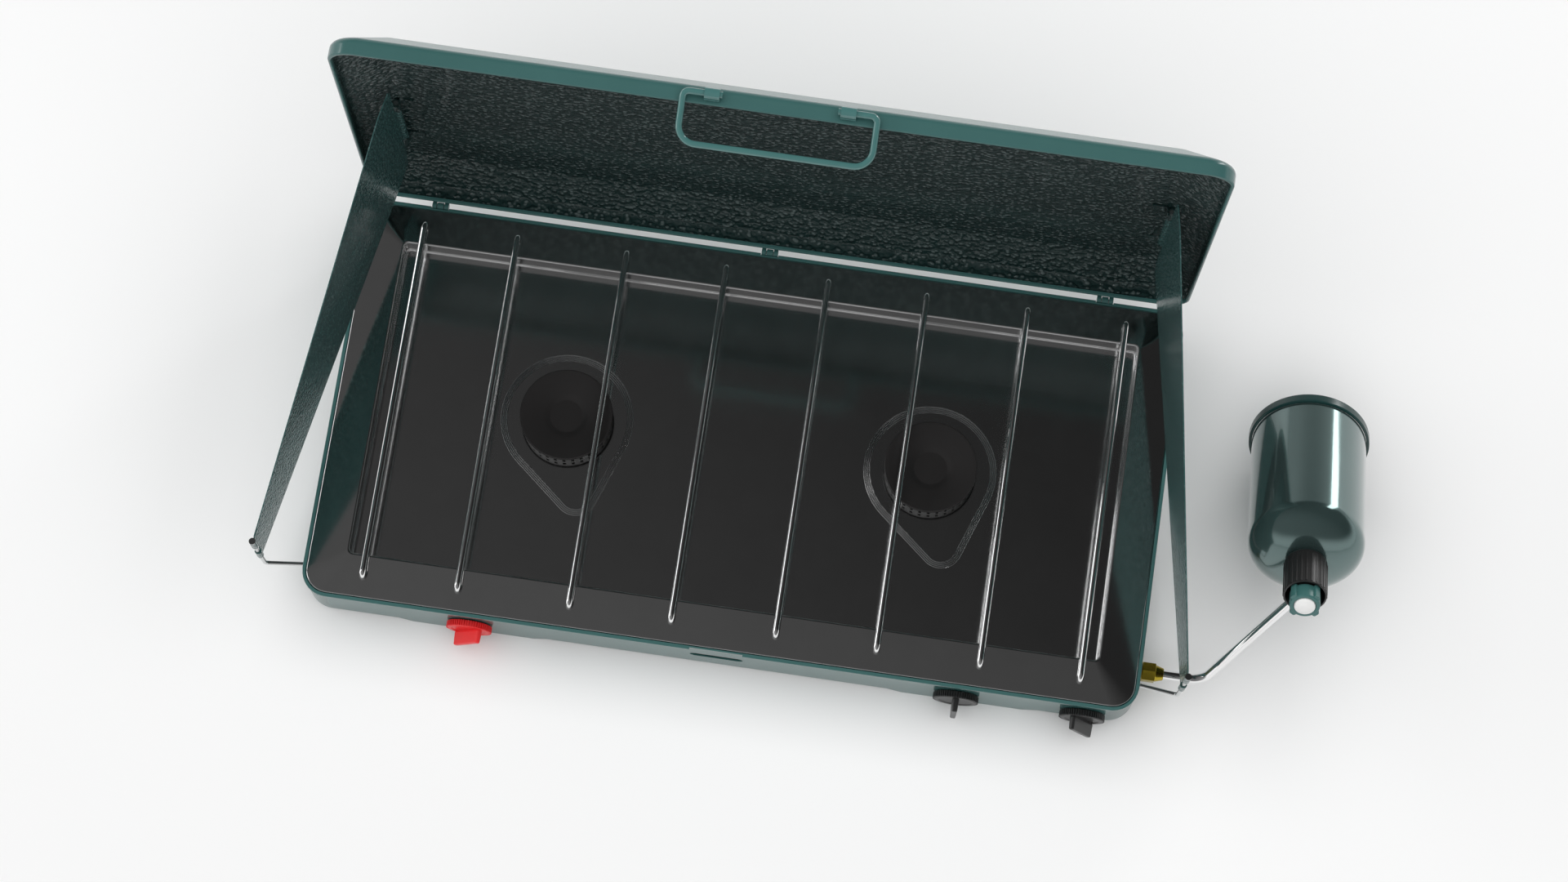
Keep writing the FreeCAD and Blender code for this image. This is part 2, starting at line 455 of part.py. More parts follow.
tabs = []
for z in TAB_Z:
    p = at(0, z - TAB_H / 2)
    side_x = flat_x - 0.3
    tab = cyl(p, Z, TAB_R, TAB_H).multiFuse(
        [box(side_x - TAB_L, side_x, panel_in - 1.1, panel_in - 0.02, p.z, p.z + TAB_H),
         box(p.x - TAB_R - 0.2, side_x, p.y + 1.0, panel_in - 0.5, p.z, p.z + TAB_H)])
    tabs.append(tab.cut(cyl(p - Z, Z, SHIELD_ROD_R + 0.02, TAB_H + 2)).removeSplitter())
nodes["shield_tabs_right"] = Part.makeCompound(tabs)
nodes["shield_tabs_left"] = Part.makeCompound([mirror_x(t) for t in tabs])
rod = cyl(at(0, TAB_Z[0] - TAB_H / 2 - 1.5), Z, SHIELD_ROD_R, TAB_Z[1] - TAB_Z[0] + TAB_H + 3)
nodes["shield_rod_right"], nodes["shield_rod_left"] = rod, mirror_x(rod)

foot_tip = V(half_w + 0.45, hook_y, HOOK_Z)
hook = wire_rod([at(ws_len, SHIELD_NOSE + 0.6), at(ws_len, HOOK_Z), foot_tip], (3.0,), HOOK_R)
hook = hook.fuse(cyl(at(ws_len, SHIELD_NOSE - 0.6), Z, HOOK_R + 0.8, 1.2)).removeSplitter()
nodes["hook_wire_right"], nodes["hook_wire_left"] = hook, mirror_x(hook)

# ---- gas line, regulator and cylinder ------------------------------------------
nut_x = half_w + 2.1
hexagon = [V(nut_x, inlet_y + NUT_AF / sqrt(3) * cos(radians(30 + 60 * k)),
             INLET_Z + NUT_AF / sqrt(3) * sin(radians(30 + 60 * k))) for k in range(6)]
nut = plate(hexagon, V(NUT_L, 0, 0)).fuse(Part.makeCone(5.6, 3.9, 5.5, V(nut_x + NUT_L, inlet_y, INLET_Z), X))
nut = nut.cut(cyl(V(nut_x - 1, inlet_y, INLET_Z), X, 4.0 + RUN, 9.2))
nodes["inlet_nut"] = nut.cut(cyl(V(nut_x, inlet_y, INLET_Z), X, TUBE_R + 0.02, 30)).removeSplitter()

tilt = radians(CYL_TILT)
axis = V(0, -cos(tilt), sin(tilt))
knee = V(half_w + TUBE_RUN, inlet_y, INLET_Z)
ring_z = ground + RING_R * cos(tilt)
meet_z = ring_z + CYL_TO_TUBE * sin(tilt)
meet = V(knee.x + CYL_OUT, knee.y + (meet_z - knee.z) * tan(tilt), meet_z)
base = meet - axis * CYL_TO_TUBE
inward = (meet - knee).normalize()
core_r = 8.8
tube_path = [V(nut_x + 8.4, inlet_y, INLET_Z), knee, meet - inward * (core_r + 0.02)]
inner_path = [tube_path[0] - X, knee, tube_path[2] + inward]
nodes["gas_tube"] = wire_rod(tube_path, (13.0,), TUBE_R).cut(wire_rod(inner_path, (13.0,), TUBE_R - 1.0))

far, near = CYL_TO_TUBE - REG_FAR, CYL_TO_TUBE + REG_NEAR
shroud = cyl(V(0, 0, far), Z, REG_R, near - far)
shroud = round_edges(shroud, 2.6, lambda e: abs(e.BoundBox.ZMax - far) < 1e-6)
shroud = shroud.cut(cyl(V(0, 0, far + 2.4), Z, REG_R - 1.5, 60)).cut(cyl(V(0, 0, far - 1), Z, 12.05, 10))
shroud = along(round_edges(shroud, 0.4, lambda e: abs(e.BoundBox.ZMin - near) < 1e-6), base, axis)
nodes["regulator_shroud"] = shroud.cut(cyl(meet - inward * 30, inward, TUBE_R + 0.4, 29))
core = cyl(V(0, 0, far + 2.42), Z, core_r, near - far - 5.2)
core = core.fuse(cyl(V(0, 0, far + 2.42), Z, REG_R - 1.52, 3.0))
core = core.cut(cyl(V(0, 0, near - 22), Z, 3 + RUN, 30)).removeSplitter()
nodes["regulator_core"] = along(core, base, axis)

wheel = cyl(V(0, 0, near - 1.6), Z, WHEEL_R - LOBE_H, WHEEL_L)
lobes = []
for k in range(WHEEL_LOBES):
    lobe = box(WHEEL_R - 5, WHEEL_R, -LOBE_W / 2, LOBE_W / 2, near - 1.6, near - 1.6 + WHEEL_L)
    lobe = lobe.common(cyl(V(0, 0, near - 3), Z, WHEEL_R, 30))
    lobe.rotate(V(0, 0, 0), Z, LOBE_TURN + 360 / WHEEL_LOBES * k)
    lobes.append(lobe)
wheel = wheel.multiFuse(lobes + [cyl(V(0, 0, near - 18), Z, 3.0, 18)])
wheel_end = near - 1.6 + WHEEL_L
wheel = wheel.cut(cyl(V(0, 0, wheel_end - 1.5), Z, CAP_R, 3)).removeSplitter()
nodes["regulator_wheel"] = along(wheel, base, axis)
dome = [(0, -1.45), (CAP_R - 0.02, -1.45), (CAP_R - 0.02, 0.6), (CAP_R - 0.6, 1.4), (CAP_R - 2, 2.0),
        (3, 2.5), (0, 2.7)]
nodes["regulator_cap"] = along(turned([(r, wheel_end + z) for r, z in dome]), base, axis)


def cylinder_skin(t):
    """Half section of the bottle as a face, inset by t."""
    r, top, low = CYL_R - t, DOME_H - t, 3.0 + t
    arc = Part.Ellipse(V(0, 0, 0), r, top) if r > top else None
    curve = Part.ArcOfEllipse(arc, 0, pi / 2).toShape()
    curve.Placement = FreeCAD.Placement(V(0, 0, CYL_BODY), FreeCAD.Rotation(X, 90))
    lines = [Part.makeLine(V(0, 0, CYL_BODY + top), V(0, 0, low)),
             Part.makeLine(V(0, 0, low), V(r - 5, 0, low)),
             Part.Arc(V(r - 5, 0, low), V(r - 5 + 5 * sin(pi / 4), 0, low + 5 - 5 * cos(pi / 4)),
                      V(r, 0, low + 5)).toShape(),
             Part.makeLine(V(r, 0, low + 5), V(r, 0, CYL_BODY))]
    return Part.Face(Part.Wire([curve] + lines)).revolve(V(0, 0, 0), Z, 360)


neck_z0, neck_z1 = CYL_BODY + DOME_H - 4, far + 2.1
bottle = cylinder_skin(0).fuse(cyl(V(0, 0, neck_z0), Z, 12.0, neck_z1 - neck_z0))
bottle = bottle.cut(cylinder_skin(1.2)).cut(cyl(V(0, 0, neck_z0 - 6), Z, 4.0, 40)).removeSplitter()
nodes["cylinder_body"] = along(bottle, base, axis)
foot = cyl(V(0, 0, 0), Z, RING_R, RING_H)
foot = round_edges(foot, 0.8, lambda e: e.Closed and e.Length > 10)
foot = foot.cut(cyl(V(0, 0, -1), Z, CYL_R + 0.02, RING_H + 2))
nodes["cylinder_foot_ring"] = along(foot, base, axis)
valve = cyl(V(0, 0, neck_z0 - 5), Z, 3.98, neck_z1 - neck_z0 + 4)
valve = valve.fuse(cyl(V(0, 0, neck_z0), Z, 1.4, neck_z1 - neck_z0 - 0.2))
nodes["cylinder_valve"] = along(valve.removeSplitter(), base, axis)

# ---- move to the row frame and save ---------------------------------------------
whole = Part.makeCompound(list(nodes.values())).optimalBoundingBox(False, False)
shift = V(-(whole.XMin + whole.XMax) / 2, -(whole.YMin + whole.YMax) / 2, -whole.ZMin)
os.makedirs("parts", exist_ok=True)
for name, shape in sorted(nodes.items()):
    if not shape.isValid():
        print("not valid:", name)
    out = shape.copy()
    out.translate(shift)
    out.exportStep(os.path.join("parts", name + ".step"))
    print("%-20s solids %d  volume %9.1f mm3" % (name, len(shape.Solids), shape.Volume))
size = V(whole.XLength, whole.YLength, whole.ZLength)
for label, p, d in (("shift", shift, V(0, 0, 0)), ("box", size, V(0, 0, 0)),
                    ("lid_hinge", V(0, hinge_y, hinge_z) + shift, X), ("bail_pivot", pivot + shift, X),
                    ("shield_root", ws_root + shift, Z), ("hook_leg", at(ws_len, 0) + shift, Z),
                    ("cylinder_base", base + shift, axis), ("meet", meet + shift, inward),
                    ("inlet", V(half_w, inlet_y, INLET_Z) + shift, X),
                    ("igniter_knob", V(igniter_x, back_y, KNOB_Z) + shift, Y),
                    ("valve_knob_1", V(valve_x[0], back_y, KNOB_Z) + shift, Y),
                    ("valve_knob_2", V(valve_x[1], back_y, KNOB_Z) + shift, Y),
                    ("foot_right", V(half_w - FOOT_IN, 0, ground) + shift, Z)):
    print("%-14s %9.4f %9.4f %9.4f   axis %8.5f %8.5f %8.5f" % (label, p.x, p.y, p.z, d.x, d.y, d.z))
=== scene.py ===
# %% [markdown]
# # A two-burner camping stove
# This lesson dresses a finished mechanical model. The moving frame is loaded
# first: every piece made here sits on one of its bodies and is placed from its
# boxes and joints, so nothing has to be fitted by eye.

# %% Load the frame
import bmesh
import bpy
import json
import math
from mathutils import Matrix, Vector


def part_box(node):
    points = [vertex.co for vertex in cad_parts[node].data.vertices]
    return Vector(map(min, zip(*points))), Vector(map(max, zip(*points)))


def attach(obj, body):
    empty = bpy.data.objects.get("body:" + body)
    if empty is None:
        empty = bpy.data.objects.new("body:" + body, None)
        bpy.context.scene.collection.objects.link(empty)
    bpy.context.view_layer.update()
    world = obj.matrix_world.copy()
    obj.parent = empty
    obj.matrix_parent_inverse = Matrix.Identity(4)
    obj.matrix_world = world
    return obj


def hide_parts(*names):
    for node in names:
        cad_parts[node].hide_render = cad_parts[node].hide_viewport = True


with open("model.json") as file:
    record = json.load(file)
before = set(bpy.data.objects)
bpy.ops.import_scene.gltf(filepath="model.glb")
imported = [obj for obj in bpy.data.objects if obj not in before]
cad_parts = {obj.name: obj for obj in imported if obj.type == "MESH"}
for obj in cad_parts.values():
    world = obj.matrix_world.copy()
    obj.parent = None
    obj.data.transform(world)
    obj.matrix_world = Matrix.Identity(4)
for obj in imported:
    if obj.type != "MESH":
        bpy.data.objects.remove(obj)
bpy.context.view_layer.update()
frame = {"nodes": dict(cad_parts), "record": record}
MM = 0.001
JOINTS = {joint["name"]: joint for joint in frame["record"]["behaviour"]["joints"]}

CASE_DEPTH = 271.65
case_low, case_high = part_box("case_shell")
RIM = Vector(((case_low.x + case_high.x) / 2, case_high.y - CASE_DEPTH / 2 * MM, case_high.z))
print("the middle of the case's rim is at", [round(v, 4) for v in RIM])


# %% Read places from the frame
def in_rim(point):
    """A place in the frame, in millimetres from the middle of the case's rim."""
    return (Vector(point) - RIM) / MM


def box_of(node):
    """The low and high corners of a frame part, in millimetres from the rim."""
    return [in_rim(corner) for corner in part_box(node)]


def joint_of(name):
    """The place of a joint, in millimetres from the rim."""
    return in_rim(JOINTS[name]["pos_m"])


print("the lid turns at", [round(v, 1) for v in joint_of("lid_hinge")])

# %% [markdown]
# ## Camera and light
# A long lens far above the stove keeps its edges nearly parallel. The tray and
# the wires are mirrors, so what stands round them makes their look: the room
# has a dark ceiling, which turns the tray nearly black, a white horizon, and a
# bright left side, which draws a white line along every wire. Bare mirrors
# don't light a floor, so a wide panel overhead does that. It is kept out of
# reflections, or the tray would mirror it and turn white.

# %% Place the camera
CAMERA_PLACE = (0.044419, -0.587239, 2.366045)
CAMERA_TURN = (14.39543, -0.32925, 8.33578)
CAMERA_LENS = 83.448


def put(name, data):
    """A new object in the scene that holds the data."""
    thing = bpy.data.objects.new(name, data)
    bpy.context.scene.collection.objects.link(thing)
    return thing


def add_camera():
    data = bpy.data.cameras.new("camera")
    data.lens, data.sensor_width = CAMERA_LENS, 36.0
    data.clip_end = 50.0
    camera = put("camera", data)
    camera.location = CAMERA_PLACE
    camera.rotation_euler = [math.radians(a) for a in CAMERA_TURN]
    bpy.context.scene.camera = camera
    return camera


add_camera()
bpy.context.scene.view_settings.view_transform = "Standard"
print("camera at", CAMERA_PLACE, "with a", CAMERA_LENS, "mm lens")


# %% Hang the lamps
def area_lamp(name, place, target, width, height, radiance):
    """A rectangular lamp as bright as radiance says, whatever its size."""
    data = bpy.data.lights.new(name, "AREA")
    data.shape, data.size, data.size_y = "RECTANGLE", width, height
    data.energy = radiance * math.pi * width * height
    lamp = put(name, data)
    lamp.location = place
    aim = Vector(target) - Vector(place)
    lamp.rotation_euler = aim.to_track_quat("-Z", "Y").to_euler()
    print("%-12s %6.1f W" % (name, data.energy))
    return lamp


top_panel = area_lamp("top_panel", (0.15, 0.0, 3.0), (0.15, 0, 0), 7.0, 6.0, 1.42)
top_panel.visible_glossy = False
area_lamp("left_lamp", (-2.6, 0.1, 1.2), (0, 0, 0), 2.0, 0.4, 3.2)
area_lamp("rear_strip", (1.46, 1.96, 0.62), (0.32, 0.03, 0.3), 0.36, 1.2, 7.0)

# %% [markdown]
# ### Node helpers
# Every node tree below is written with the same few helpers. An input of a
# node is fed either a value or the output of another node, so one call can
# make a node, set it and link it.

# %% Add nodes and trees
SOCKETS = {"number": "NodeSocketFloat", "count": "NodeSocketInt", "colour": "NodeSocketColor",
           "vector": "NodeSocketVector", "shape": "NodeSocketGeometry", "finish": "NodeSocketMaterial"}


def add_node(tree, kind, feeds=(), **settings):
    """Adds a node. Feeds pairs its inputs with values or with outputs of other nodes."""
    node = tree.nodes.new(kind)
    for key, value in settings.items():
        setattr(node, key, value)
    for key, value in dict(feeds).items():
        if isinstance(value, bpy.types.NodeSocket):
            tree.links.new(value, node.inputs[key])
        else:
            node.inputs[key].default_value = value
    return node


def new_tree(name, kind, inputs, outputs):
    """A tree whose inputs are (name, kind, value) and outputs (name, kind)."""
    tree = bpy.data.node_groups.new(name, kind)
    for socket, sort, *value in inputs:
        made = tree.interface.new_socket(name=socket, in_out="INPUT", socket_type=SOCKETS[sort])
        if value:
            made.default_value = value[0]
    for socket, sort in outputs:
        tree.interface.new_socket(name=socket, in_out="OUTPUT", socket_type=SOCKETS[sort])
    return tree, add_node(tree, "NodeGroupInput").outputs, add_node(tree, "NodeGroupOutput")


print("a tree's sockets can be:", *SOCKETS)

# %% Do sums with nodes
def sums(tree, operation, *terms, clamp=False):
    """The result of a Math node."""
    node = add_node(tree, "ShaderNodeMath", enumerate(terms), operation=operation, use_clamp=clamp)
    return node.outputs[0]


def vector_sums(tree, operation, feeds):
    """The result of a Vector Math node."""
    return add_node(tree, "ShaderNodeVectorMath", feeds, operation=operation).outputs[0]


def ramp_between(tree, source, low, high, way="SMOOTHSTEP"):
    """0 below low, 1 above high, and between them a smooth or a straight slope."""
    feeds = {"Value": source, "From Min": low, "From Max": high}
    return add_node(tree, "ShaderNodeMapRange", feeds, interpolation_type=way).outputs["Result"]


def mixed(tree, share, one, two):
    """one where share is 0, two where it is 1."""
    feeds = {"Factor": share, "A": one, "B": two}
    return add_node(tree, "ShaderNodeMix", feeds, data_type="FLOAT").outputs["Result"]


# %% Paint the room
HORIZON, REAR_HORIZON, LEFT_WALL = 1.0, 0.5, 1.2
CEILING, CEILING_X, CEILING_Y, CEILING_LEAST = 0.062, -0.12, -0.15, 0.02


def paint_room():
    world = bpy.data.worlds.new("dark_ceiling_room")
    bpy.context.scene.world = world
    world.use_nodes = True
    tree = world.node_tree
    where = add_node(tree, "ShaderNodeTexCoord").outputs["Generated"]
    x, y, z = add_node(tree, "ShaderNodeSeparateXYZ", {0: where}).outputs
    across = sums(tree, "MULTIPLY_ADD", x, CEILING_X, CEILING)
    ceiling = sums(tree, "MAXIMUM", sums(tree, "MULTIPLY_ADD", y, CEILING_Y, across), CEILING_LEAST)
    upper = mixed(tree, ramp_between(tree, x, -0.82, -0.92), ceiling, LEFT_WALL)
    horizon = mixed(tree, ramp_between(tree, y, 0.2, 0.7), HORIZON, REAR_HORIZON)
    light = mixed(tree, ramp_between(tree, z, 0.34, 0.10), upper, horizon)
    tree.links.new(light, tree.nodes["Background"].inputs["Color"])
    return world


print("room:", paint_room().name)

# %% [markdown]
# ## Shared effects
# Four effects come back on several pieces, so each is a group. *Grain* is the
# fine unevenness of sprayed paint and of moulded plastic. *Handling* varies
# gloss and colour in soft patches, as dust and fingers do. *Scratches*
# stretches a fine noise into hairlines. *Hammer* is the puckered skin of
# hammer-finish paint: cells with raised middles, drawn out along one axis and
# bent by a slower noise so that no two are alike. Its second output marks the
# peaks, where a paler colour is painted on as a painted highlight.

# %% Build the handling and grain groups
def object_noise(group, scale, detail, roughness=0.5, stretch=None):
    """Noise on object coordinates, drawn out by the stretch vector."""
    place = add_node(group, "ShaderNodeTexCoord").outputs["Object"]
    if stretch:
        place = add_node(group, "ShaderNodeMapping", {"Vector": place, "Scale": stretch}).outputs["Vector"]
    feeds = {"Vector": place, "Scale": scale, "Detail": detail, "Roughness": roughness}
    return add_node(group, "ShaderNodeTexNoise", feeds).outputs["Fac"]


def handling_group():
    group, given, end = new_tree(
        "handling", "ShaderNodeTree",
        [("Colour", "colour", (0.5, 0.5, 0.5, 1)), ("Scale", "number", 30.0), ("Amount", "number", 0.15),
         ("Roughness", "number", 0.3), ("Spread", "number", 0.08)],
        [("Colour", "colour"), ("Roughness", "number")])
    centre = sums(group, "SUBTRACT", object_noise(group, given["Scale"], 6.0, 0.62), 0.5)
    tint = sums(group, "MULTIPLY_ADD", centre, given["Amount"], 1.0)
    colour = vector_sums(group, "SCALE", {0: given["Colour"], "Scale": tint})
    rough = sums(group, "MULTIPLY_ADD", centre, given["Spread"], given["Roughness"], clamp=True)
    group.links.new(colour, end.inputs["Colour"])
    group.links.new(rough, end.inputs["Roughness"])
    return group


def grain_group():
    group, given, end = new_tree("grain", "ShaderNodeTree", [("Scale", "number", 300.0)],
                                 [("Height", "number")])
    group.links.new(object_noise(group, given["Scale"], 2.0), end.inputs["Height"])
    return group


HANDLING, GRAIN = handling_group(), grain_group()
print("effect groups:", HANDLING.name, GRAIN.name)

# %% Build the scratches and hammer groups
ALONG_X, ALONG_Y, HAIR_WIDTH = (0.05, 1.0, 1.0), (1.0, 0.03, 1.0), 0.08
# PEAK_LOW and PEAK_HIGH set where the painted highlight on the cell peaks fades in.
PEAK_LOW, PEAK_HIGH = 0.58, 0.84


def scratches_group():
    group, given, end = new_tree("scratches", "ShaderNodeTree",
                                 [("Scale", "number", 60.0), ("Reach", "number", 0.62)],
                                 [("Height", "number")])
    one, two = (object_noise(group, given["Scale"], 3.0, 0.55, way) for way in (ALONG_Y, ALONG_X))
    over = sums(group, "ADD", given["Reach"], HAIR_WIDTH)
    hairs = ramp_between(group, sums(group, "MAXIMUM", one, two), given["Reach"], over, "LINEAR")
    group.links.new(hairs, end.inputs["Height"])
    return group


def hammer_group():
    group, given, end = new_tree(
        "hammer", "ShaderNodeTree",
        [("Scale", "number", 300.0), ("Stretch", "vector", (0.5, 1.0, 1.0)), ("Wander", "number", 0.35)],
        [("Height", "number"), ("Peaks", "number")])
    place = add_node(group, "ShaderNodeTexCoord").outputs["Object"]
    pulled = vector_sums(group, "MULTIPLY", {0: place, 1: given["Stretch"]})
    big = vector_sums(group, "SCALE", {0: pulled, "Scale": given["Scale"]})
    noise = add_node(group, "ShaderNodeTexNoise", {"Vector": big, "Scale": 0.8, "Detail": 2.0})
    shake = vector_sums(group, "SCALE", {0: noise.outputs["Color"], "Scale": given["Wander"]})
    shaken = vector_sums(group, "ADD", {0: big, 1: shake})
    cells = add_node(group, "ShaderNodeTexVoronoi", {"Vector": shaken, "Scale": 1.0, "Smoothness": 0.6},
                     feature="SMOOTH_F1")
    height = sums(group, "SUBTRACT", 1.0, cells.outputs["Distance"])
    group.links.new(height, end.inputs["Height"])
    group.links.new(ramp_between(group, height, PEAK_LOW, PEAK_HIGH), end.inputs["Peaks"])
    return group


SCRATCHES, HAMMER = scratches_group(), hammer_group()
print("effect groups:", SCRATCHES.name, HAMMER.name)

# %% [markdown]
# ## The finishes
# A finish is a Principled shader with a few groups in front of it, and each
# names what it is on the stove. The case and lid are dull green under a hard
# gloss, smooth outside and hammered inside. Inside the lid and on the wind
# sheets the same green is painted darker, as painted shade, and the peaks of the
# hammered cells are painted paler, as painted highlights. The tray is a dark
# polished plate that mirrors the lid, the wind sheets and the wires over it;
# plastics are rougher, with a fine moulding grain.

# %% Material helpers
def finish_of(name, colour, roughness, metallic=0.0, **extras):
    """A new material: returns it with its tree and its Principled node."""
    material = bpy.data.materials.new(name)
    material.use_nodes = True
    shader = material.node_tree.nodes["Principled BSDF"]
    values = {"Base_Color": (*colour, 1), "Roughness": roughness, "Metallic": metallic, **extras}
    for key, value in values.items():
        shader.inputs[key.replace("_", " ")].default_value = value
    material.diffuse_color = (*colour, 1)
    return material, material.node_tree, shader


def place_group(tree, group, **values):
    return add_node(tree, "ShaderNodeGroup", values, node_tree=group)


def add_bump(tree, shader, height, strength, distance):
    bump = add_node(tree, "ShaderNodeBump", {"Strength": strength, "Distance": distance, "Height": height})
    tree.links.new(bump.outputs["Normal"], shader.inputs["Normal"])


def handled(tree, shader, colour, roughness, scale, amount, spread):
    """Feeds the shader's colour and roughness from the handling group."""
    node = place_group(tree, HANDLING, Colour=(*colour, 1), Scale=scale, Amount=amount,
                       Roughness=roughness, Spread=spread)
    tree.links.new(node.outputs["Colour"], shader.inputs["Base Color"])
    tree.links.new(node.outputs["Roughness"], shader.inputs["Roughness"])
    return node.outputs["Colour"]


def grained(tree, shader, scale, strength, distance):
    grain = place_group(tree, GRAIN, Scale=scale)
    add_bump(tree, shader, grain.outputs["Height"], strength, distance)


def scratched(tree, shader, scale, reach, strength):
    hair = place_group(tree, SCRATCHES, Scale=scale, Reach=reach)
    add_bump(tree, shader, hair.outputs["Height"], strength, 0.0001)


# %% Recipes for paint and enamel
MIX_A, MIX_B, MIX_OUT = 6, 7, 2


def gloss_paint(name, colour, roughness=0.24, metallic=0.0, coat=0.15):
    material, tree, shader = finish_of(name, colour, roughness, metallic,
                                       Coat_Weight=coat, Coat_Roughness=0.04)
    handled(tree, shader, colour, roughness, 24.0, 0.2, 0.08)
    grained(tree, shader, 260.0, 0.08, 0.0003)
    return material


def hammer_paint(name, colour, peak_highlight, roughness, stretch, scale, depth):
    """Paint with puckered cells, whose peaks get a paler colour as a painted highlight."""
    material, tree, shader = finish_of(name, colour, roughness, Coat_Weight=0.4, Coat_Roughness=0.15)
    base = handled(tree, shader, colour, roughness, 16.0, 0.45, 0.12)
    hammer = place_group(tree, HAMMER, Scale=scale, Stretch=stretch)
    # The peaks are mixed towards a paler colour: a painted highlight where light would catch the cells.
    feeds = {0: hammer.outputs["Peaks"], MIX_A: base, MIX_B: (*peak_highlight, 1)}
    tint = add_node(tree, "ShaderNodeMix", feeds, data_type="RGBA")
    tree.links.new(tint.outputs[MIX_OUT], shader.inputs["Base Color"])
    add_bump(tree, shader, hammer.outputs["Height"], 1.0, depth)
    return material


def enamel(name, colour, roughness):
    material, tree, shader = finish_of(name, colour, roughness, IOR=1.55)
    handled(tree, shader, colour, roughness, 9.0, 0.3, 0.06)
    scratched(tree, shader, 70.0, 0.68, 0.03)
    return material


# %% Recipes for metal and plastic
def metal(name, colour, roughness, spread=0.05, scratch=0.05):
    material, tree, shader = finish_of(name, colour, roughness, 1.0)
    handled(tree, shader, colour, roughness, 45.0, 0.12, spread)
    scratched(tree, shader, 160.0, 0.6, scratch)
    return material


def moulded(name, colour, roughness):
    material, tree, shader = finish_of(name, colour, roughness)
    handled(tree, shader, colour, roughness, 60.0, 0.14, 0.08)
    grained(tree, shader, 1400.0, 0.12, 0.0002)
    return material


# %% Mix the finishes
ACROSS, UP = (0.8, 1.0, 1.0), (1.0, 1.0, 0.8)
FINISHES = (
    ("case_paint", gloss_paint, (0.042, 0.118, 0.113)),
    ("bail_paint", gloss_paint, (0.060, 0.165, 0.158), 0.14, 0.0, 0.8),
    # The lid's inside paint is the case's green painted darker, as painted shade; its second colour is the
    # painted highlight on the hammer peaks.
    ("lid_inside", hammer_paint, (0.010, 0.026, 0.025), (0.085, 0.115, 0.113), 0.20, ACROSS, 340.0, 0.0026),
    # The wind sheets' paint is the case's green painted darker, as painted shade; its second colour is the
    # painted highlight on the hammer peaks.
    ("shield_paint", hammer_paint, (0.030, 0.088, 0.085), (0.075, 0.160, 0.155), 0.22, UP, 460.0, 0.0018),
    ("tray_plate", metal, (0.74, 0.74, 0.74), 0.11, 0.05, 0.03),
    ("cap_iron", enamel, (0.015, 0.014, 0.014), 0.36),
    ("band_steel", metal, (0.55, 0.55, 0.55), 0.30),
    ("chrome", metal, (0.86, 0.86, 0.86), 0.07, 0.03, 0.02),
    ("wire_steel", metal, (0.62, 0.63, 0.63), 0.22),
    ("dark_steel", metal, (0.16, 0.15, 0.15), 0.45),
    ("brass", metal, (0.42, 0.32, 0.035), 0.24),
    ("black_plastic", moulded, (0.018, 0.018, 0.018), 0.34),
    ("red_plastic", moulded, (0.78, 0.020, 0.022), 0.38),
    ("green_plastic", moulded, (0.045, 0.140, 0.132), 0.33),
    ("bottle_paint", gloss_paint, (0.090, 0.150, 0.145), 0.16, 0.75, 1.0),
    ("foot_plastic", moulded, (0.010, 0.040, 0.038), 0.25),
    ("white_cap", moulded, (0.84, 0.84, 0.83), 0.3),
)
FINISH = {name: recipe(name, *values) for name, recipe, *values in FINISHES}
print(len(FINISH), "finishes mixed")

# %% [markdown]
# ## The floor
# One large pale sheet. It is stage, not stove, so it is marked as such.

# %% Lay the floor
def add_floor(half=6.0):
    mesh = bpy.data.meshes.new("floor")
    corners = [(-half, -half, 0), (half, -half, 0), (half, half, 0), (-half, half, 0)]
    mesh.from_pydata(corners, [], [(0, 1, 2, 3)])
    floor = put("floor", mesh)
    material, _, _ = finish_of("pale_floor", (0.93, 0.93, 0.93), 0.8)
    mesh.materials.append(material)
    return floor


print("laid:", add_floor().name)

# %% [markdown]
# ## Tools for shapes
# Pressed sheet parts are stacks of rounded rectangles: each ring of points
# stands a little further in and a little deeper than the last, so a pan, a lid
# or a rolled edge is one list of rings. Turned parts are a half outline spun
# about an axis. Every mesh is drawn in millimetres from the middle of the
# case's rim, and moved into the frame when it is made into a piece.

# %% Draw rings and bends
def rounded_ring(x0, x1, y0, y1, radius, steps=8):
    """Points round a rectangle with round corners, anticlockwise from the right."""
    ring = []
    corners = ((x1, y0, -90), (x1, y1, 0), (x0, y1, 90), (x0, y0, 180))
    for cx, cy, start in corners:
        px = cx - math.copysign(radius, cx - (x0 + x1) / 2)
        py = cy - math.copysign(radius, cy - (y0 + y1) / 2)
        for k in range(steps + 1):
            a = math.radians(start + 90 * k / steps)
            ring.append((px + radius * math.cos(a), py + radius * math.sin(a)))
    return ring


def bent(points, radii, steps=5):
    """The outline through the points, with each inner corner rounded to its radius."""
    line = [Vector(points[0])]
    for before, corner, after, radius in zip(points, points[1:], points[2:], radii):
        here = Vector(corner)
        one, two = (Vector(before) - here).normalized(), (Vector(after) - here).normalized()
        half = one.angle(two) / 2
        if radius <= 0 or half > math.radians(89.5):
            line.append(here)
            continue
        reach = radius / math.tan(half)
        centre = here + (one + two).normalized() * (radius / math.sin(half))
        start, end = here + one * reach - centre, here + two * reach - centre
        turn = start.angle(end)
        for k in range(steps + 1):
            f = k / steps
            side = start * math.sin((1 - f) * turn) + end * math.sin(f * turn)
            line.append(centre + side / math.sin(turn))
    line.append(Vector(points[-1]))
    return line


print("a round corner has", len(rounded_ring(0, 2, 0, 2, 1)) // 4, "points")


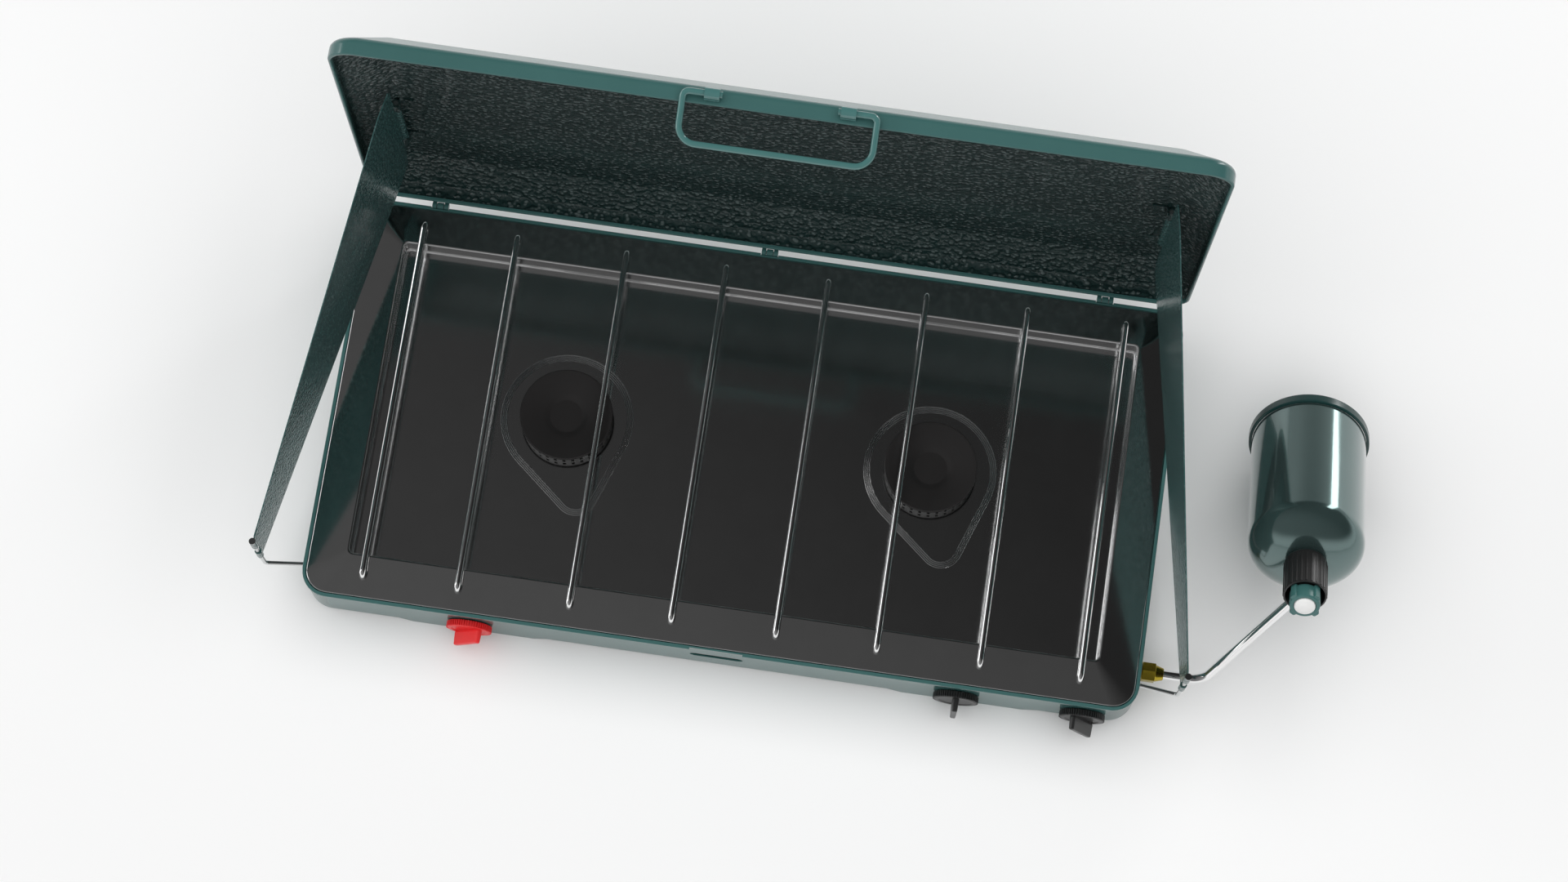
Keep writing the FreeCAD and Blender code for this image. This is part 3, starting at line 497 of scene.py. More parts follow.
# %% Stack, spin and join
def stack_rings(rings, close_first=False, close_last=False):
    """Vertices and faces of rings of points joined one to the next."""
    count = len(rings[0])
    verts = [point for ring in rings for point in ring]
    faces = []
    for level in range(len(rings) - 1):
        for k in range(count):
            a, b = level * count + k, level * count + (k + 1) % count
            faces.append((a, b, b + count, a + count))
    if close_first:
        faces.append(tuple(reversed(range(count))))
    if close_last:
        faces.append(tuple(range((len(rings) - 1) * count, len(rings) * count)))
    return verts, faces


def spun(outline, steps=64):
    """Vertices and faces of an (r, z) outline turned about Z. A point with r = 0 is a pole."""
    verts, faces, rows = [], [], []
    for r, z in outline:
        if r < 1e-6:
            rows.append([len(verts)] * steps)
            verts.append((0, 0, z))
        else:
            rows.append(list(range(len(verts), len(verts) + steps)))
            for k in range(steps):
                a = 2 * math.pi * k / steps
                verts.append((r * math.cos(a), r * math.sin(a), z))
    for low, top in zip(rows, rows[1:]):
        for k in range(steps):
            n = (k + 1) % steps
            corners = [low[k], low[n], top[n], top[k]]
            face = [v for i, v in enumerate(corners) if v != corners[i - 1]]
            if len(face) > 2:
                faces.append(tuple(face))
    return verts, faces


def joined(first, second):
    """The vertices and faces of two shapes as one."""
    verts, faces = first
    more, sides = second
    return verts + more, faces + [tuple(v + len(verts) for v in face) for face in sides]


print("a cone spun in 8 steps has", len(spun([(1, 0), (0, 1)], 8)[1]), "faces")

# %% [markdown]
# ### From a mesh to a piece
# Every piece ends the same way: flat faces stay flat and round ones turn
# smooth, its normals are weighted by area, and it is given its finish, the body
# it moves with and the frame parts whose place it takes.

# %% Finish a piece
FROM_RIM = Matrix.Translation(RIM) @ Matrix.Scale(MM, 4)


def evaluated(thing):
    """The mesh with its modifiers worked in, and the modifiers gone."""
    graph = bpy.context.evaluated_depsgraph_get()
    mesh = bpy.data.meshes.new_from_object(thing.evaluated_get(graph), depsgraph=graph)
    thing.modifiers.clear()
    thing.data = mesh
    return mesh


def settle(thing, body, nodes, finish, sharp=32.0):
    """Smooths a piece by angle, weights its normals, gives it its finish and its body, and hides the frame
    parts it replaces."""
    mesh = thing.data
    mesh.polygons.foreach_set("use_smooth", [True] * len(mesh.polygons))
    mesh.set_sharp_from_angle(angle=math.radians(sharp))
    weigh = thing.modifiers.new("weigh", "WEIGHTED_NORMAL")
    weigh.keep_sharp = True
    mesh = evaluated(thing)
    mesh.name = thing.name
    mesh.materials.clear()
    mesh.materials.append(FINISH[finish])
    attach(thing, body)
    if nodes:
        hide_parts(*nodes)
    print("%-24s %6d faces on %s" % (thing.name, len(mesh.polygons), body))
    return thing


def mesh_of(shape, name):
    """A mesh of the shape that was being edited."""
    mesh = bpy.data.meshes.new(name)
    shape.to_mesh(mesh)
    shape.free()
    return mesh


# %% Draw a piece, or take one from the frame
def new_thing(name, verts, faces, place=FROM_RIM, edges=()):
    """An object from points in millimetres, put in the frame, facing outwards."""
    mesh = bpy.data.meshes.new(name)
    mesh.from_pydata([tuple(v) for v in verts], list(edges), faces)
    mesh.transform(place)
    if faces:
        shape = bmesh.new()
        shape.from_mesh(mesh)
        bmesh.ops.remove_doubles(shape, verts=shape.verts, dist=1e-7)
        bmesh.ops.recalc_face_normals(shape, faces=shape.faces)
        shape.to_mesh(mesh)
        shape.free()
    return put(name, mesh)


def from_part(node, name, body, finish, bevel=0.0):
    """A piece that takes a frame part's shape, merged, smoothed and with its edges broken."""
    shape = bmesh.new()
    shape.from_mesh(frame["nodes"][node].data)
    bmesh.ops.remove_doubles(shape, verts=shape.verts, dist=2e-6)
    bmesh.ops.dissolve_limit(shape, angle_limit=math.radians(0.4), verts=shape.verts, edges=shape.edges)
    thing = put(name, mesh_of(shape, name))
    if bevel:
        soften = thing.modifiers.new("soften", "BEVEL")
        soften.width, soften.segments, soften.limit_method = bevel * MM, 2, "ANGLE"
        soften.angle_limit = math.radians(40)
        evaluated(thing)
    return settle(thing, body, [node], finish)


print("drawings stand on the rim at", [round(v, 4) for v in FROM_RIM.translation])

# %% [markdown]
# ## Bent wire
# Pot supports, the carrying handle, the gas tube and the beads round the
# burners all look like round bar bent at corners. One Geometry Nodes tree makes
# them: the piece starts as bare edges through the corners, each corner carries
# the radius that it is bent to, and the tree rounds the corners and runs a
# circle along the line. A bevelled curve could do this for one wire, but the
# tree bends any number of them with the same few inputs.

# %% Build the bent wire tree
def wire_tree():
    tree, given, end = new_tree(
        "bent_wire", "GeometryNodeTree",
        [("Path", "shape"), ("Wire Radius", "number"), ("Sides", "count"), ("Steps", "count"),
         ("Finish", "finish")], [("Wire", "shape")])
    line = add_node(tree, "GeometryNodeMeshToCurve", {"Mesh": given["Path"]})
    bend = add_node(tree, "GeometryNodeInputNamedAttribute", {"Name": "bend"}, data_type="FLOAT")
    fillet = add_node(tree, "GeometryNodeFilletCurve",
                      {"Curve": line.outputs["Curve"], "Radius": bend.outputs["Attribute"],
                       "Count": given["Steps"], "Limit Radius": True}, mode="POLY")
    circle = add_node(tree, "GeometryNodeCurvePrimitiveCircle",
                      {"Resolution": given["Sides"], "Radius": given["Wire Radius"]})
    sweep = add_node(tree, "GeometryNodeCurveToMesh",
                     {"Curve": fillet.outputs["Curve"], "Profile Curve": circle.outputs["Curve"],
                      "Fill Caps": True})
    realize = add_node(tree, "GeometryNodeRealizeInstances", {"Geometry": sweep.outputs["Mesh"]})
    paint = add_node(tree, "GeometryNodeSetMaterial",
                     {"Geometry": realize.outputs["Geometry"], "Material": given["Finish"]})
    tree.links.new(paint.outputs["Geometry"], end.inputs["Wire"])
    return tree


def with_tree(thing, tree, **values):
    """Runs a tree on a thing with its named inputs set, and keeps the result as its mesh."""
    run = thing.modifiers.new(tree.name, "NODES")
    run.node_group = tree
    ids = {item.name.replace(" ", "_"): item.identifier for item in tree.interface.items_tree
           if item.in_out == "INPUT"}
    for name, value in values.items():
        run[ids[name]] = value
    return evaluated(thing)


BENT_WIRE = wire_tree()
print(BENT_WIRE.name, "has", len(BENT_WIRE.nodes), "nodes")


# %% Bend wires
def wires(name, paths, radius, body, nodes, finish, sides=20, steps=8, closed=False):
    """One piece of bent bars. Each path is a list of (point in mm, bend radius in mm)."""
    verts, edges, bends = [], [], []
    for path in paths:
        first = len(verts)
        verts += [point for point, _ in path]
        bends += [bend * MM for _, bend in path]
        edges += [(k, k + 1) for k in range(first, len(verts) - 1)]
        if closed:
            edges.append((len(verts) - 1, first))
    thing = new_thing(name, verts, [], edges=edges)
    marks = thing.data.attributes.new("bend", "FLOAT", "POINT")
    for mark, bend in zip(marks.data, bends):
        mark.value = bend
    with_tree(thing, BENT_WIRE, Wire_Radius=radius * MM, Sides=sides, Steps=steps, Finish=FINISH[finish])
    return settle(thing, body, nodes, finish, 40.0)


# %% [markdown]
# ## Rings of bars
# Flame slots, knob ribs, the ribs of the regulator's shroud and the lobes of
# its wheel are all small bars standing on a circle. An array could copy them
# one ring at a time. The second tree stands rounded bars round the Z axis and
# joins them to the turned body it is given, so their count, width and height
# stay inputs that any ring can set.

# %% Build the ring tree
def ring_tree():
    sizes = [(n, "number") for n in ("Circle", "Width", "Depth", "Corner", "Low", "High", "Turn")]
    tree, given, end = new_tree(
        "ring_of_bars", "GeometryNodeTree",
        [("Body", "shape"), ("Count", "count"), *sizes, ("Finish", "finish")], [("Ring", "shape")])
    low, high, turn = (add_node(tree, "ShaderNodeCombineXYZ", {"Z": given[n]}).outputs[0]
                       for n in ("Low", "High", "Turn"))
    line = add_node(tree, "GeometryNodeCurvePrimitiveLine", {"Start": low, "End": high})
    outline = add_node(tree, "GeometryNodeCurvePrimitiveQuadrilateral",
                       {"Width": given["Depth"], "Height": given["Width"]})
    fillet = add_node(tree, "GeometryNodeFilletCurve",
                      {"Curve": outline.outputs["Curve"], "Radius": given["Corner"], "Count": 3},
                      mode="POLY")
    bar = add_node(tree, "GeometryNodeCurveToMesh",
                   {"Curve": line.outputs["Curve"], "Profile Curve": fillet.outputs["Curve"],
                    "Fill Caps": True})
    circle = add_node(tree, "GeometryNodeMeshCircle",
                      {"Vertices": given["Count"], "Radius": given["Circle"]})
    place = add_node(tree, "GeometryNodeInputPosition")
    outwards = add_node(tree, "FunctionNodeAlignRotationToVector", {"Vector": place.outputs[0]}, axis="X")
    copies = add_node(tree, "GeometryNodeInstanceOnPoints",
                      {"Points": circle.outputs["Mesh"], "Instance": bar.outputs["Mesh"],
                       "Rotation": outwards.outputs["Rotation"]})
    move = add_node(tree, "GeometryNodeTransform",
                    {"Geometry": copies.outputs["Instances"], "Rotation": turn})
    realize = add_node(tree, "GeometryNodeRealizeInstances", {"Geometry": move.outputs["Geometry"]})
    both = add_node(tree, "GeometryNodeJoinGeometry", {"Geometry": realize.outputs["Geometry"]})
    tree.links.new(given["Body"], both.inputs["Geometry"])
    paint = add_node(tree, "GeometryNodeSetMaterial",
                     {"Geometry": both.outputs["Geometry"], "Material": given["Finish"]})
    tree.links.new(paint.outputs["Geometry"], end.inputs["Ring"])
    return tree


RING_OF_BARS = ring_tree()


def with_bars(thing, count, circle, width, depth, corner, low, high, turn=0.0):
    """Adds a ring of rounded bars to a thing drawn about Z in millimetres."""
    return with_tree(thing, RING_OF_BARS, Count=count, Circle=circle, Width=width, Depth=depth,
                     Corner=corner, Low=low, High=high, Turn=math.radians(turn))


print(RING_OF_BARS.name, "has", len(RING_OF_BARS.nodes), "nodes")

# %% [markdown]
# ## The cooktop tray
# On the real stove the tray is pressed from one sheet: a rolled edge, four
# margins that rise gently to the well, a tight bend, a straight wall and a flat
# floor with a raised bead round each burner. It is made as a stack of rings
# that change from the large corner radius of the edge to the small one of the
# well, which gives the soft mitre folds at the corners. The floor is filled
# round the two burner holes, and the sheet gets its thickness last.

# %% Measure the tray
LEFT, RIGHT, FRONT, REAR = 0, 1, 2, 3
tray_low, tray_high = box_of("cooktop_tray")
EDGE_R, WELL_R, SHEET_T = 14.8, 3.2, 0.8
MARGINS = (28.8, 28.8, 29.5, 28.5)
half_wide, half_deep = (case_high.x - case_low.x) / 2 / MM, CASE_DEPTH / 2
EDGE = (tray_low.x, tray_high.x, tray_low.y, tray_high.y)
WELL = (-half_wide + MARGINS[LEFT], half_wide - MARGINS[RIGHT],
        -half_deep + MARGINS[FRONT], half_deep - MARGINS[REAR])
CREST, LIP, EDGE_FOOT, WELL_FLOOR = 3.7, 0.15, -3.0, -12.5
HOLE_INSET, HOLE_STEPS = 5.2, 48
print("tray edge", [round(v, 1) for v in EDGE], "well", [round(v, 1) for v in WELL])


# %% Draw the tray's rings
def between(one, two, share):
    return [a + (b - a) * share for a, b in zip(one, two)]


def inset(rectangle, by):
    x0, x1, y0, y1 = rectangle
    return (x0 + by, x1 - by, y0 + by, y1 - by)


def burner_middle(side):
    """The middle of a burner's cap, and the cap's radius."""
    low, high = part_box("burner_cap_" + side)
    return in_rim((low + high) / 2), (high.x - low.x) / 2 / MM


def tray_rings():
    """Rings from the rolled edge, over the margin and down to the well's floor."""
    margin = WELL[0] - EDGE[0]
    outline = bent([(0.0, EDGE_FOOT), (0.0, LIP), (margin, CREST), (margin, WELL_FLOOR),
                    (margin + 12, WELL_FLOOR)], (0.9, 1.3, 1.5), 6)
    rings = []
    for across, height in outline[:-1]:
        share = min(across / margin, 1.0)
        x0, x1, y0, y1 = inset(between(EDGE, WELL, share), max(across - margin, 0.0))
        radius = EDGE_R + (WELL_R - EDGE_R) * share
        rings.append([(x, y, height) for x, y in rounded_ring(x0, x1, y0, y1, radius)])
    return rings


print("the tray has", len(tray_rings()), "rings")


# %% Press the tray
def press_tray(name):
    rings = tray_rings()
    verts, faces = stack_rings(rings)
    shape = bmesh.new()
    dots = [shape.verts.new(v) for v in verts]
    for face in faces:
        shape.faces.new([dots[k] for k in face])
    rim = dots[-len(rings[-1]):]
    loose = [shape.edges.get((rim[k - 1], rim[k])) for k in range(len(rim))]
    for side in ("left", "right"):
        middle, reach = burner_middle(side)
        hole = []
        for k in range(HOLE_STEPS):
            a = 2 * math.pi * k / HOLE_STEPS
            spot = (reach - HOLE_INSET) * math.cos(a), (reach - HOLE_INSET) * math.sin(a)
            hole.append(shape.verts.new((middle.x + spot[0], middle.y + spot[1], WELL_FLOOR)))
        loose += [shape.edges.new((hole[k - 1], hole[k])) for k in range(HOLE_STEPS)]
    bmesh.ops.triangle_fill(shape, use_beauty=True, edges=loose)
    bmesh.ops.recalc_face_normals(shape, faces=shape.faces)
    if sum(face.normal.z * face.calc_area() for face in shape.faces) < 0:
        bmesh.ops.reverse_faces(shape, faces=shape.faces)
    mesh = mesh_of(shape, name)
    mesh.transform(FROM_RIM)
    thing = put(name, mesh)
    wall = thing.modifiers.new("wall", "SOLIDIFY")
    wall.thickness, wall.offset = SHEET_T * MM, -1
    evaluated(thing)
    return settle(thing, "base", ["cooktop_tray"], "tray_plate", 40.0)


press_tray("tray_pressing")

# %% [markdown]
# ### Beads round the burners
# Each burner sits inside a pressed bead shaped like a drop, whose point follows
# the gas pipe under the floor. Close up it is four fine ridges. Each ridge is
# a closed wire half sunk into the floor, from the same tree as the pot rods.

# %% Draw the drops
BEAD_TURN, BEAD_R, BEAD_TIP, BEAD_TIP_R = 15.7, 41.8, 52.0, 12.0
RIDGES, RIDGE_R, RIDGE_LIFT = (-1.8, -0.6, 0.6, 1.8), 0.46, 0.05


def drop(middle, grow, steps=40):
    """Points of a circle and a smaller one joined by their common tangents."""
    turn = math.radians(BEAD_TURN)
    along = Vector((math.sin(turn), -math.cos(turn)))
    aside = Vector((-along.y, along.x))
    big, small = BEAD_R + grow, BEAD_TIP_R + grow
    lean = math.acos((big - small) / BEAD_TIP)
    points = []
    for radius, centre, first, last, count in ((big, 0.0, lean, 2 * math.pi - lean, steps),
                                               (small, BEAD_TIP, -lean, lean, steps // 2)):
        for k in range(count + 1):
            a = first + (last - first) * k / count
            spot = along * (centre + radius * math.cos(a)) + aside * (radius * math.sin(a))
            points.append((middle.x + spot.x, middle.y + spot.y, WELL_FLOOR + RIDGE_LIFT))
    return points


drops = [drop(burner_middle(side)[0], grow) for side in ("left", "right") for grow in RIDGES]
bead_paths = [[(point, 0.0) for point in line] for line in drops]
wires("tray_beads", bead_paths, RIDGE_R, "base", [], "tray_plate", 10, 2, True)

# %% [markdown]
# ## Pot rods
# Eight plated wires lie across the well, each bent down at both ends into
# the tray's margins. Their places come from the frame. They never move against
# each other, so the wire tree makes them as one piece.

# %% Bend the pot rods
ROD_BEND = 4.6
ROD_NODES = ["pot_rod_%d" % k for k in range(1, 9)]
rod_paths = []
for node in ROD_NODES:
    low, high = box_of(node)
    wire = (high.x - low.x) / 2
    x, top = (low.x + high.x) / 2, high.z - wire
    ends = ((low.y + wire, low.z), (low.y + wire, top), (high.y - wire, top), (high.y - wire, low.z))
    rod_paths.append([((x, y, z), ROD_BEND) for y, z in ends])
wires("pot_rods", rod_paths, wire, "base", ROD_NODES, "chrome", 24, 10)

# %% [markdown]
# ## Burners
# A burner shows two parts: a dished cap, and the ported band below it, where
# flame comes out between thirty-two posts. The cap is one outline spun about
# its middle. Cutting the slots out of the band would need thirty-two cuts, so
# the band is made as two hoops, and the ring tree stands the posts between.

# %% Turn a cap
def turn_cap(side):
    node = "burner_cap_" + side
    middle, reach = burner_middle(side)
    edge = box_of(node)[1].z
    outline = [(0, 4.9), (11.0, 4.8), (14.0, 3.5), (15.6, 3.0), (22, 1.5), (reach - 2.3, 0.25),
               (reach - 0.6, 0), (reach, 0.6), (reach, 2.0), (reach - 1.0, 2.6), (23.4, 2.6), (14, 4.3),
               (9, 6.0), (0, 6.2)]
    line = bent([(r, edge - down) for r, down in outline],
                (3.0, 2.5, 1.5, 20, 6, 0.5, 0.5, 0.4, 0.5, 2.0, 3.0, 3.0), 4)
    verts, faces = spun([(max(r, 0.0), z) for r, z in line], 96)
    verts = [(x + middle.x, y + middle.y, z) for x, y, z in verts]
    return settle(new_thing(node + "_dish", verts, faces), "base", [node], "cap_iron", 35.0)


# %% Turn a band, and make both burners
PORTS, PORT_WIDE, BAND_STEP, SLOT_LOW, SLOT_HIGH = 32, 1.8, 0.9, 0.9, 6.3


def turn_band(side):
    node = "burner_head_" + side
    middle, reach = burner_middle(side)
    low, high = box_of(node)
    outer, inner = reach - BAND_STEP, reach - BAND_STEP - 5
    slot_low, slot_high = low.z + SLOT_LOW, low.z + SLOT_HIGH
    shape = [], []
    for z0, z1 in ((low.z, slot_low), (slot_high, high.z)):
        line = bent([(outer - 2, z0), (outer, z0), (outer, z1), (inner, z1), (inner, z0), (outer - 2, z0)],
                    (0.3, 0.3, 0.3, 0.3), 2)
        shape = joined(shape, spun(line, 64))
    band = new_thing("burner_band_" + side, *shape, Matrix.Identity(4))
    pitch = 2 * math.pi * outer / PORTS
    with_bars(band, PORTS, outer - 2.5, pitch - PORT_WIDE, 5.0, 0.5, slot_low - 0.2, slot_high + 0.2)
    band.data.transform(FROM_RIM @ Matrix.Translation((middle.x, middle.y, 0)))
    return settle(band, "base", [node], "band_steel", 35.0)


for side in ("left", "right"):
    turn_cap(side)
    turn_band(side)

# %% [markdown]
# ## The lid
# The lid is a shallow pan stood on its edge: a rolled rim, a short wall, a wide
# slope all round and a flat panel. A bevelled box would give every edge the
# same corner. One closed stack of rings, from the middle of its inner panel,
# out over the rim and back to its outer panel, gives each level its own, and
# keeps the sheet equally thick. Faces that look inwards take the other paint.

# %% Draw the lid's rings
LID_SHEET, LID_WALL, LID_SLOPE = 1.0, 10.6, 28.0
LID_HEM, HEM_DEEP = 2.4, 3.0
LID_EDGE_R, LID_TIGHTENS = 17.5, 10.5


def lid_rings(low, high):
    """Rings from the middle of the inner panel, over the rim, to the outer panel."""
    deep = high.y - low.y
    pitch = (deep - LID_WALL) / LID_SLOPE
    long = math.hypot(1, pitch)
    wall_in = LID_WALL + LID_SHEET * (pitch - long)
    panel_in = deep - LID_SHEET
    slope_in = LID_SHEET + (panel_in - wall_in) / pitch
    outline = [(slope_in + 20, panel_in), (slope_in, panel_in), (LID_SHEET, wall_in),
               (LID_SHEET, HEM_DEEP), (LID_HEM, HEM_DEEP), (LID_HEM, 0.0), (0.0, 0.0),
               (0.0, LID_WALL), (LID_SLOPE, deep), (LID_SLOPE + 20, deep)]
    rings = []
    for across, depth in bent(outline, (9.0, 5.0, 0.4, 0.6, 1.0, 1.0, 6.0, 10.0), 6)[1:-1]:
        radius = LID_EDGE_R - across * LID_TIGHTENS / LID_SLOPE
        ring = rounded_ring(low.x + across, high.x - across, low.z + across, high.z - across, radius, 10)
        rings.append([(x, low.y + depth, z) for x, z in ring])
    return rings


print("the lid has", len(lid_rings(*box_of("lid_shell"))), "rings")


# %% Press the lid
def press_lid(name):
    low, high = box_of("lid_shell")
    lid = new_thing(name, *stack_rings(lid_rings(low, high), True, True))
    settle(lid, "lid", ["lid_shell"], "case_paint", 40.0)
    # The inward faces take the second paint: the case's green painted darker, as painted shade.
    lid.data.materials.append(FINISH["lid_inside"])
    middle = Vector(((low.x + high.x) / 2, 0, (low.z + high.z) / 2))
    for face in lid.data.polygons:
        spot, way = in_rim(face.center), face.normal
        inward = way.y < -0.5 or (middle - spot).dot(way) > 0
        if inward and spot.y > low.y + HEM_DEEP - 0.6:
            face.material_index = 1
    return lid


lid = press_lid("lid_pressing")
print(sum(face.material_index for face in lid.data.polygons), "of its faces are painted as the inside")

# %% [markdown]
# ## The case and its small fittings
# The case has holes, a latch slot and stamped feet whose places matter, so its
# shape comes from the frame: a merged copy, smoothed by angle. Hinges, clips,
# tabs and the wind sheets get the same, with their edges broken. The tabs are
# painted with the lid, the clips with the handle.

# %% Dress the case, hinges and wind sheets
from_part("case_shell", "case_pan", "base", "case_paint")
from_part("hinge_base_leaves", "hinge_leaves_case", "base", "case_paint", 0.25)
from_part("hinge_lid_leaves", "hinge_leaves_lid", "lid", "case_paint", 0.25)
from_part("handle_clips", "handle_saddles", "lid", "bail_paint", 0.4)
for side in ("left", "right"):
    # The wind sheets take the case's green painted darker as painted shade, with painted highlights on the
    # hammer peaks.
    from_part("windshield_" + side, "wind_sheet_" + side, "shield_" + side, "shield_paint", 0.12)
    # The tabs take the lid's inside paint, painted darker as painted shade.
    from_part("shield_tabs_" + side, "sheet_tabs_" + side, "lid", "lid_inside", 0.3)

# %% [markdown]
# ## Handle, hook wires and gas tube
# The handle is a wide wire hoop that swings in two saddles on the lid's edge,
# and the gas tube turns once, from the inlet up to the regulator. Both are bent
# wires. Each wind sheet ends in a hook wire whose foot reaches for the case.
# The hooks have curled loops that the frame already holds, so they are copied.

# %% Bend the handle
BAIL_END = 23.7


def bend_handle():
    pivot = joint_of("handle_swing")
    low, high = box_of("handle_bail")
    wire = high.z - pivot.z
    wide = (high.x - low.x) / 2 - wire
    reach = Vector((0, low.y + wire - pivot.y, low.z + wire - pivot.z))
    reach = reach.normalized() * (reach.length + wire * 0.05)
    out, end = Vector((wide, 0, 0)), Vector((wide - BAIL_END, 0, 0))
    path = [(pivot + end, 0), (pivot + out, 4.0), (pivot + out + reach, 11.0),
            (pivot - out + reach, 11.0), (pivot - out, 4.0), (pivot - end, 0)]
    return wires("handle_hoop", [path], wire, "bail", ["handle_bail"], "bail_paint", 20, 10)


bend_handle()

# %% Bend the gas tube, and dress the hook wires
TUBE_START, TUBE_RUN, TUBE_R, TUBE_BEND, CORE_R = 10.5, 42.1, 3.1, 13.0, 8.8


def bend_tube():
    inlet, meet = joint_of("regulator_swivel"), joint_of("regulator_wheel_turn")
    knee = inlet + Vector((TUBE_RUN, 0, 0))
    inward = (meet - knee).normalized()
    path = [(inlet + Vector((TUBE_START, 0, 0)), 0), (knee, TUBE_BEND), (meet - inward * CORE_R, 0)]
    return wires("gas_line_tube", [path], TUBE_R, "gas_line", ["gas_tube"], "chrome", 24, 12)


bend_tube()
from_part("inlet_nut", "gas_union", "gas_line", "brass", 0.3)
for side in ("left", "right"):
    from_part("hook_wire_" + side, "hook_" + side, "hook_" + side, "wire_steel")
    from_part("shield_rod_" + side, "sheet_pin_" + side, "lid", "wire_steel")

# %% [markdown]
# ## Knobs
# Each knob is a ribbed disc with a bar across it to grip. The disc is turned,
# the ribs come from the ring tree, and the bar is a stack of rounded
# rectangles that close in at the top. The bars stand at their real angles.

# %% Mould the knobs
KNOB_R, KNOB_T, KNOB_RIBS = 15.0, 4.6, 56
GRIP_L, GRIP_W, GRIP_H = 26.5, 4.3, 9.1
TO_FRONT = Matrix.Rotation(math.radians(90), 4, "X")


def grip_rings():
    """Rings of the bar across a knob, which closes in at the top."""
    side = [(0.3, KNOB_T - 1.0), (0, KNOB_T + 1.0), (0.35, KNOB_T + GRIP_H), (1.6, KNOB_T + GRIP_H)]
    rings = []
    for gap, height in bent(side, (1.0, 0.9), 5):
        x, y = GRIP_W / 2 - gap, GRIP_L / 2 - gap
        rings.append([(u, v, height) for u, v in rounded_ring(-x, x, -y, y, min(1.4, x * 0.8), 4)])
    return rings


def mould_knob(node, joint, body, finish, turn):
    outline = [(0, 0.2), (KNOB_R - 1.1, 0.2), (KNOB_R - 1.1, KNOB_T), (11.5, KNOB_T),
               (10.6, KNOB_T - 0.5), (0, KNOB_T - 0.5)]
    disc = spun(bent(outline, (0.5, 0.8, 0.4, 0.4), 4), 72)
    shape = joined(disc, stack_rings(grip_rings(), True, True))
    knob = new_thing(node + "_moulding", *shape, Matrix.Identity(4))
    with_bars(knob, KNOB_RIBS, KNOB_R - 0.8, 0.9, 1.6, 0.25, 0.4, KNOB_T - 0.4)
    place = FROM_RIM @ Matrix.Translation(joint_of(joint)) @ TO_FRONT
    knob.data.transform(place @ Matrix.Rotation(math.radians(turn), 4, "Z"))
    return settle(knob, body, [node], finish, 35.0)


mould_knob("igniter_knob", "igniter_turn", "igniter_knob", "red_plastic", -41)
mould_knob("valve_knob_1", "valve_1_turn", "knob_1", "black_plastic", 0)
mould_knob("valve_knob_2", "valve_2_turn", "knob_2", "black_plastic", 32)

# %% [markdown]
# ## Gas bottle and regulator
# Everything here turns about the bottle's own axis, which leans back to the
# ground. The parts are turned about Z in millimetres from the bottle's base and
# then laid along that axis.

# %% Find the bottle's axis
lean = Vector(JOINTS["cylinder_thread"]["axis"]).normalized()
bottle_base = joint_of("cylinder_thread")
TUBE_AT = (joint_of("regulator_wheel_turn") - bottle_base).length
side_axis = lean.cross(Vector((1, 0, 0)))
LAID = FROM_RIM @ Matrix((
    (1, side_axis.x, lean.x, bottle_base.x), (0, side_axis.y, lean.y, bottle_base.y),
    (0, side_axis.z, lean.z, bottle_base.z), (0, 0, 0, 1)))
print("the gas tube meets the regulator", round(TUBE_AT, 1), "mm from the bottle's base")


def turned(name, outline, body, node, finish, steps=96, bars=None):
    """A piece turned about the bottle's axis, with a ring of bars if one is asked for."""
    thing = new_thing(name, *spun(outline, steps), Matrix.Identity(4))
    if bars:
        with_bars(thing, *bars)
    thing.data.transform(LAID)
    return settle(thing, body, [node], finish, 35.0)


# %% Turn the bottle and its foot
BOTTLE_R, BOTTLE_TOP, DOME_H, NECK_R = 37.6, 98.0, 18.5, 12.0
FOOT_R, FOOT_H = 39.6, 7.0
SHROUD_FAR, SHROUD_NEAR, SHROUD_R = TUBE_AT - 23.9, TUBE_AT + 6.1, 14.2
SHOULDER = 0.84


def dome_outline(steps=18):
    """The dome's quarter outline, squarer at the shoulder than an ellipse."""
    line = []
    for k in range(steps + 1):
        a = math.pi / 2 * k / steps
        r = BOTTLE_R * math.cos(a) ** SHOULDER
        line.append((r, BOTTLE_TOP + DOME_H * math.sin(a) ** SHOULDER))
    return [(r, z) for r, z in line if r > NECK_R]


bottle = bent([(0, 3.0), (BOTTLE_R, 3.0), (BOTTLE_R, BOTTLE_TOP)], (5.0,), 6)
bottle += dome_outline()[1:]
bottle += [(NECK_R, SHROUD_FAR - 0.5), (NECK_R, SHROUD_FAR + 2.0), (0, SHROUD_FAR + 2.0)]
turned("gas_bottle", bottle, "cylinder", "cylinder_body", "bottle_paint")
foot = bent([(BOTTLE_R, 2), (BOTTLE_R, 0), (FOOT_R, 0), (FOOT_R, FOOT_H), (BOTTLE_R, FOOT_H),
             (BOTTLE_R, 2)], (0.5, 1.2, 0.9, 0.2), 4)
turned("bottle_foot", foot, "cylinder", "cylinder_foot_ring", "foot_plastic")

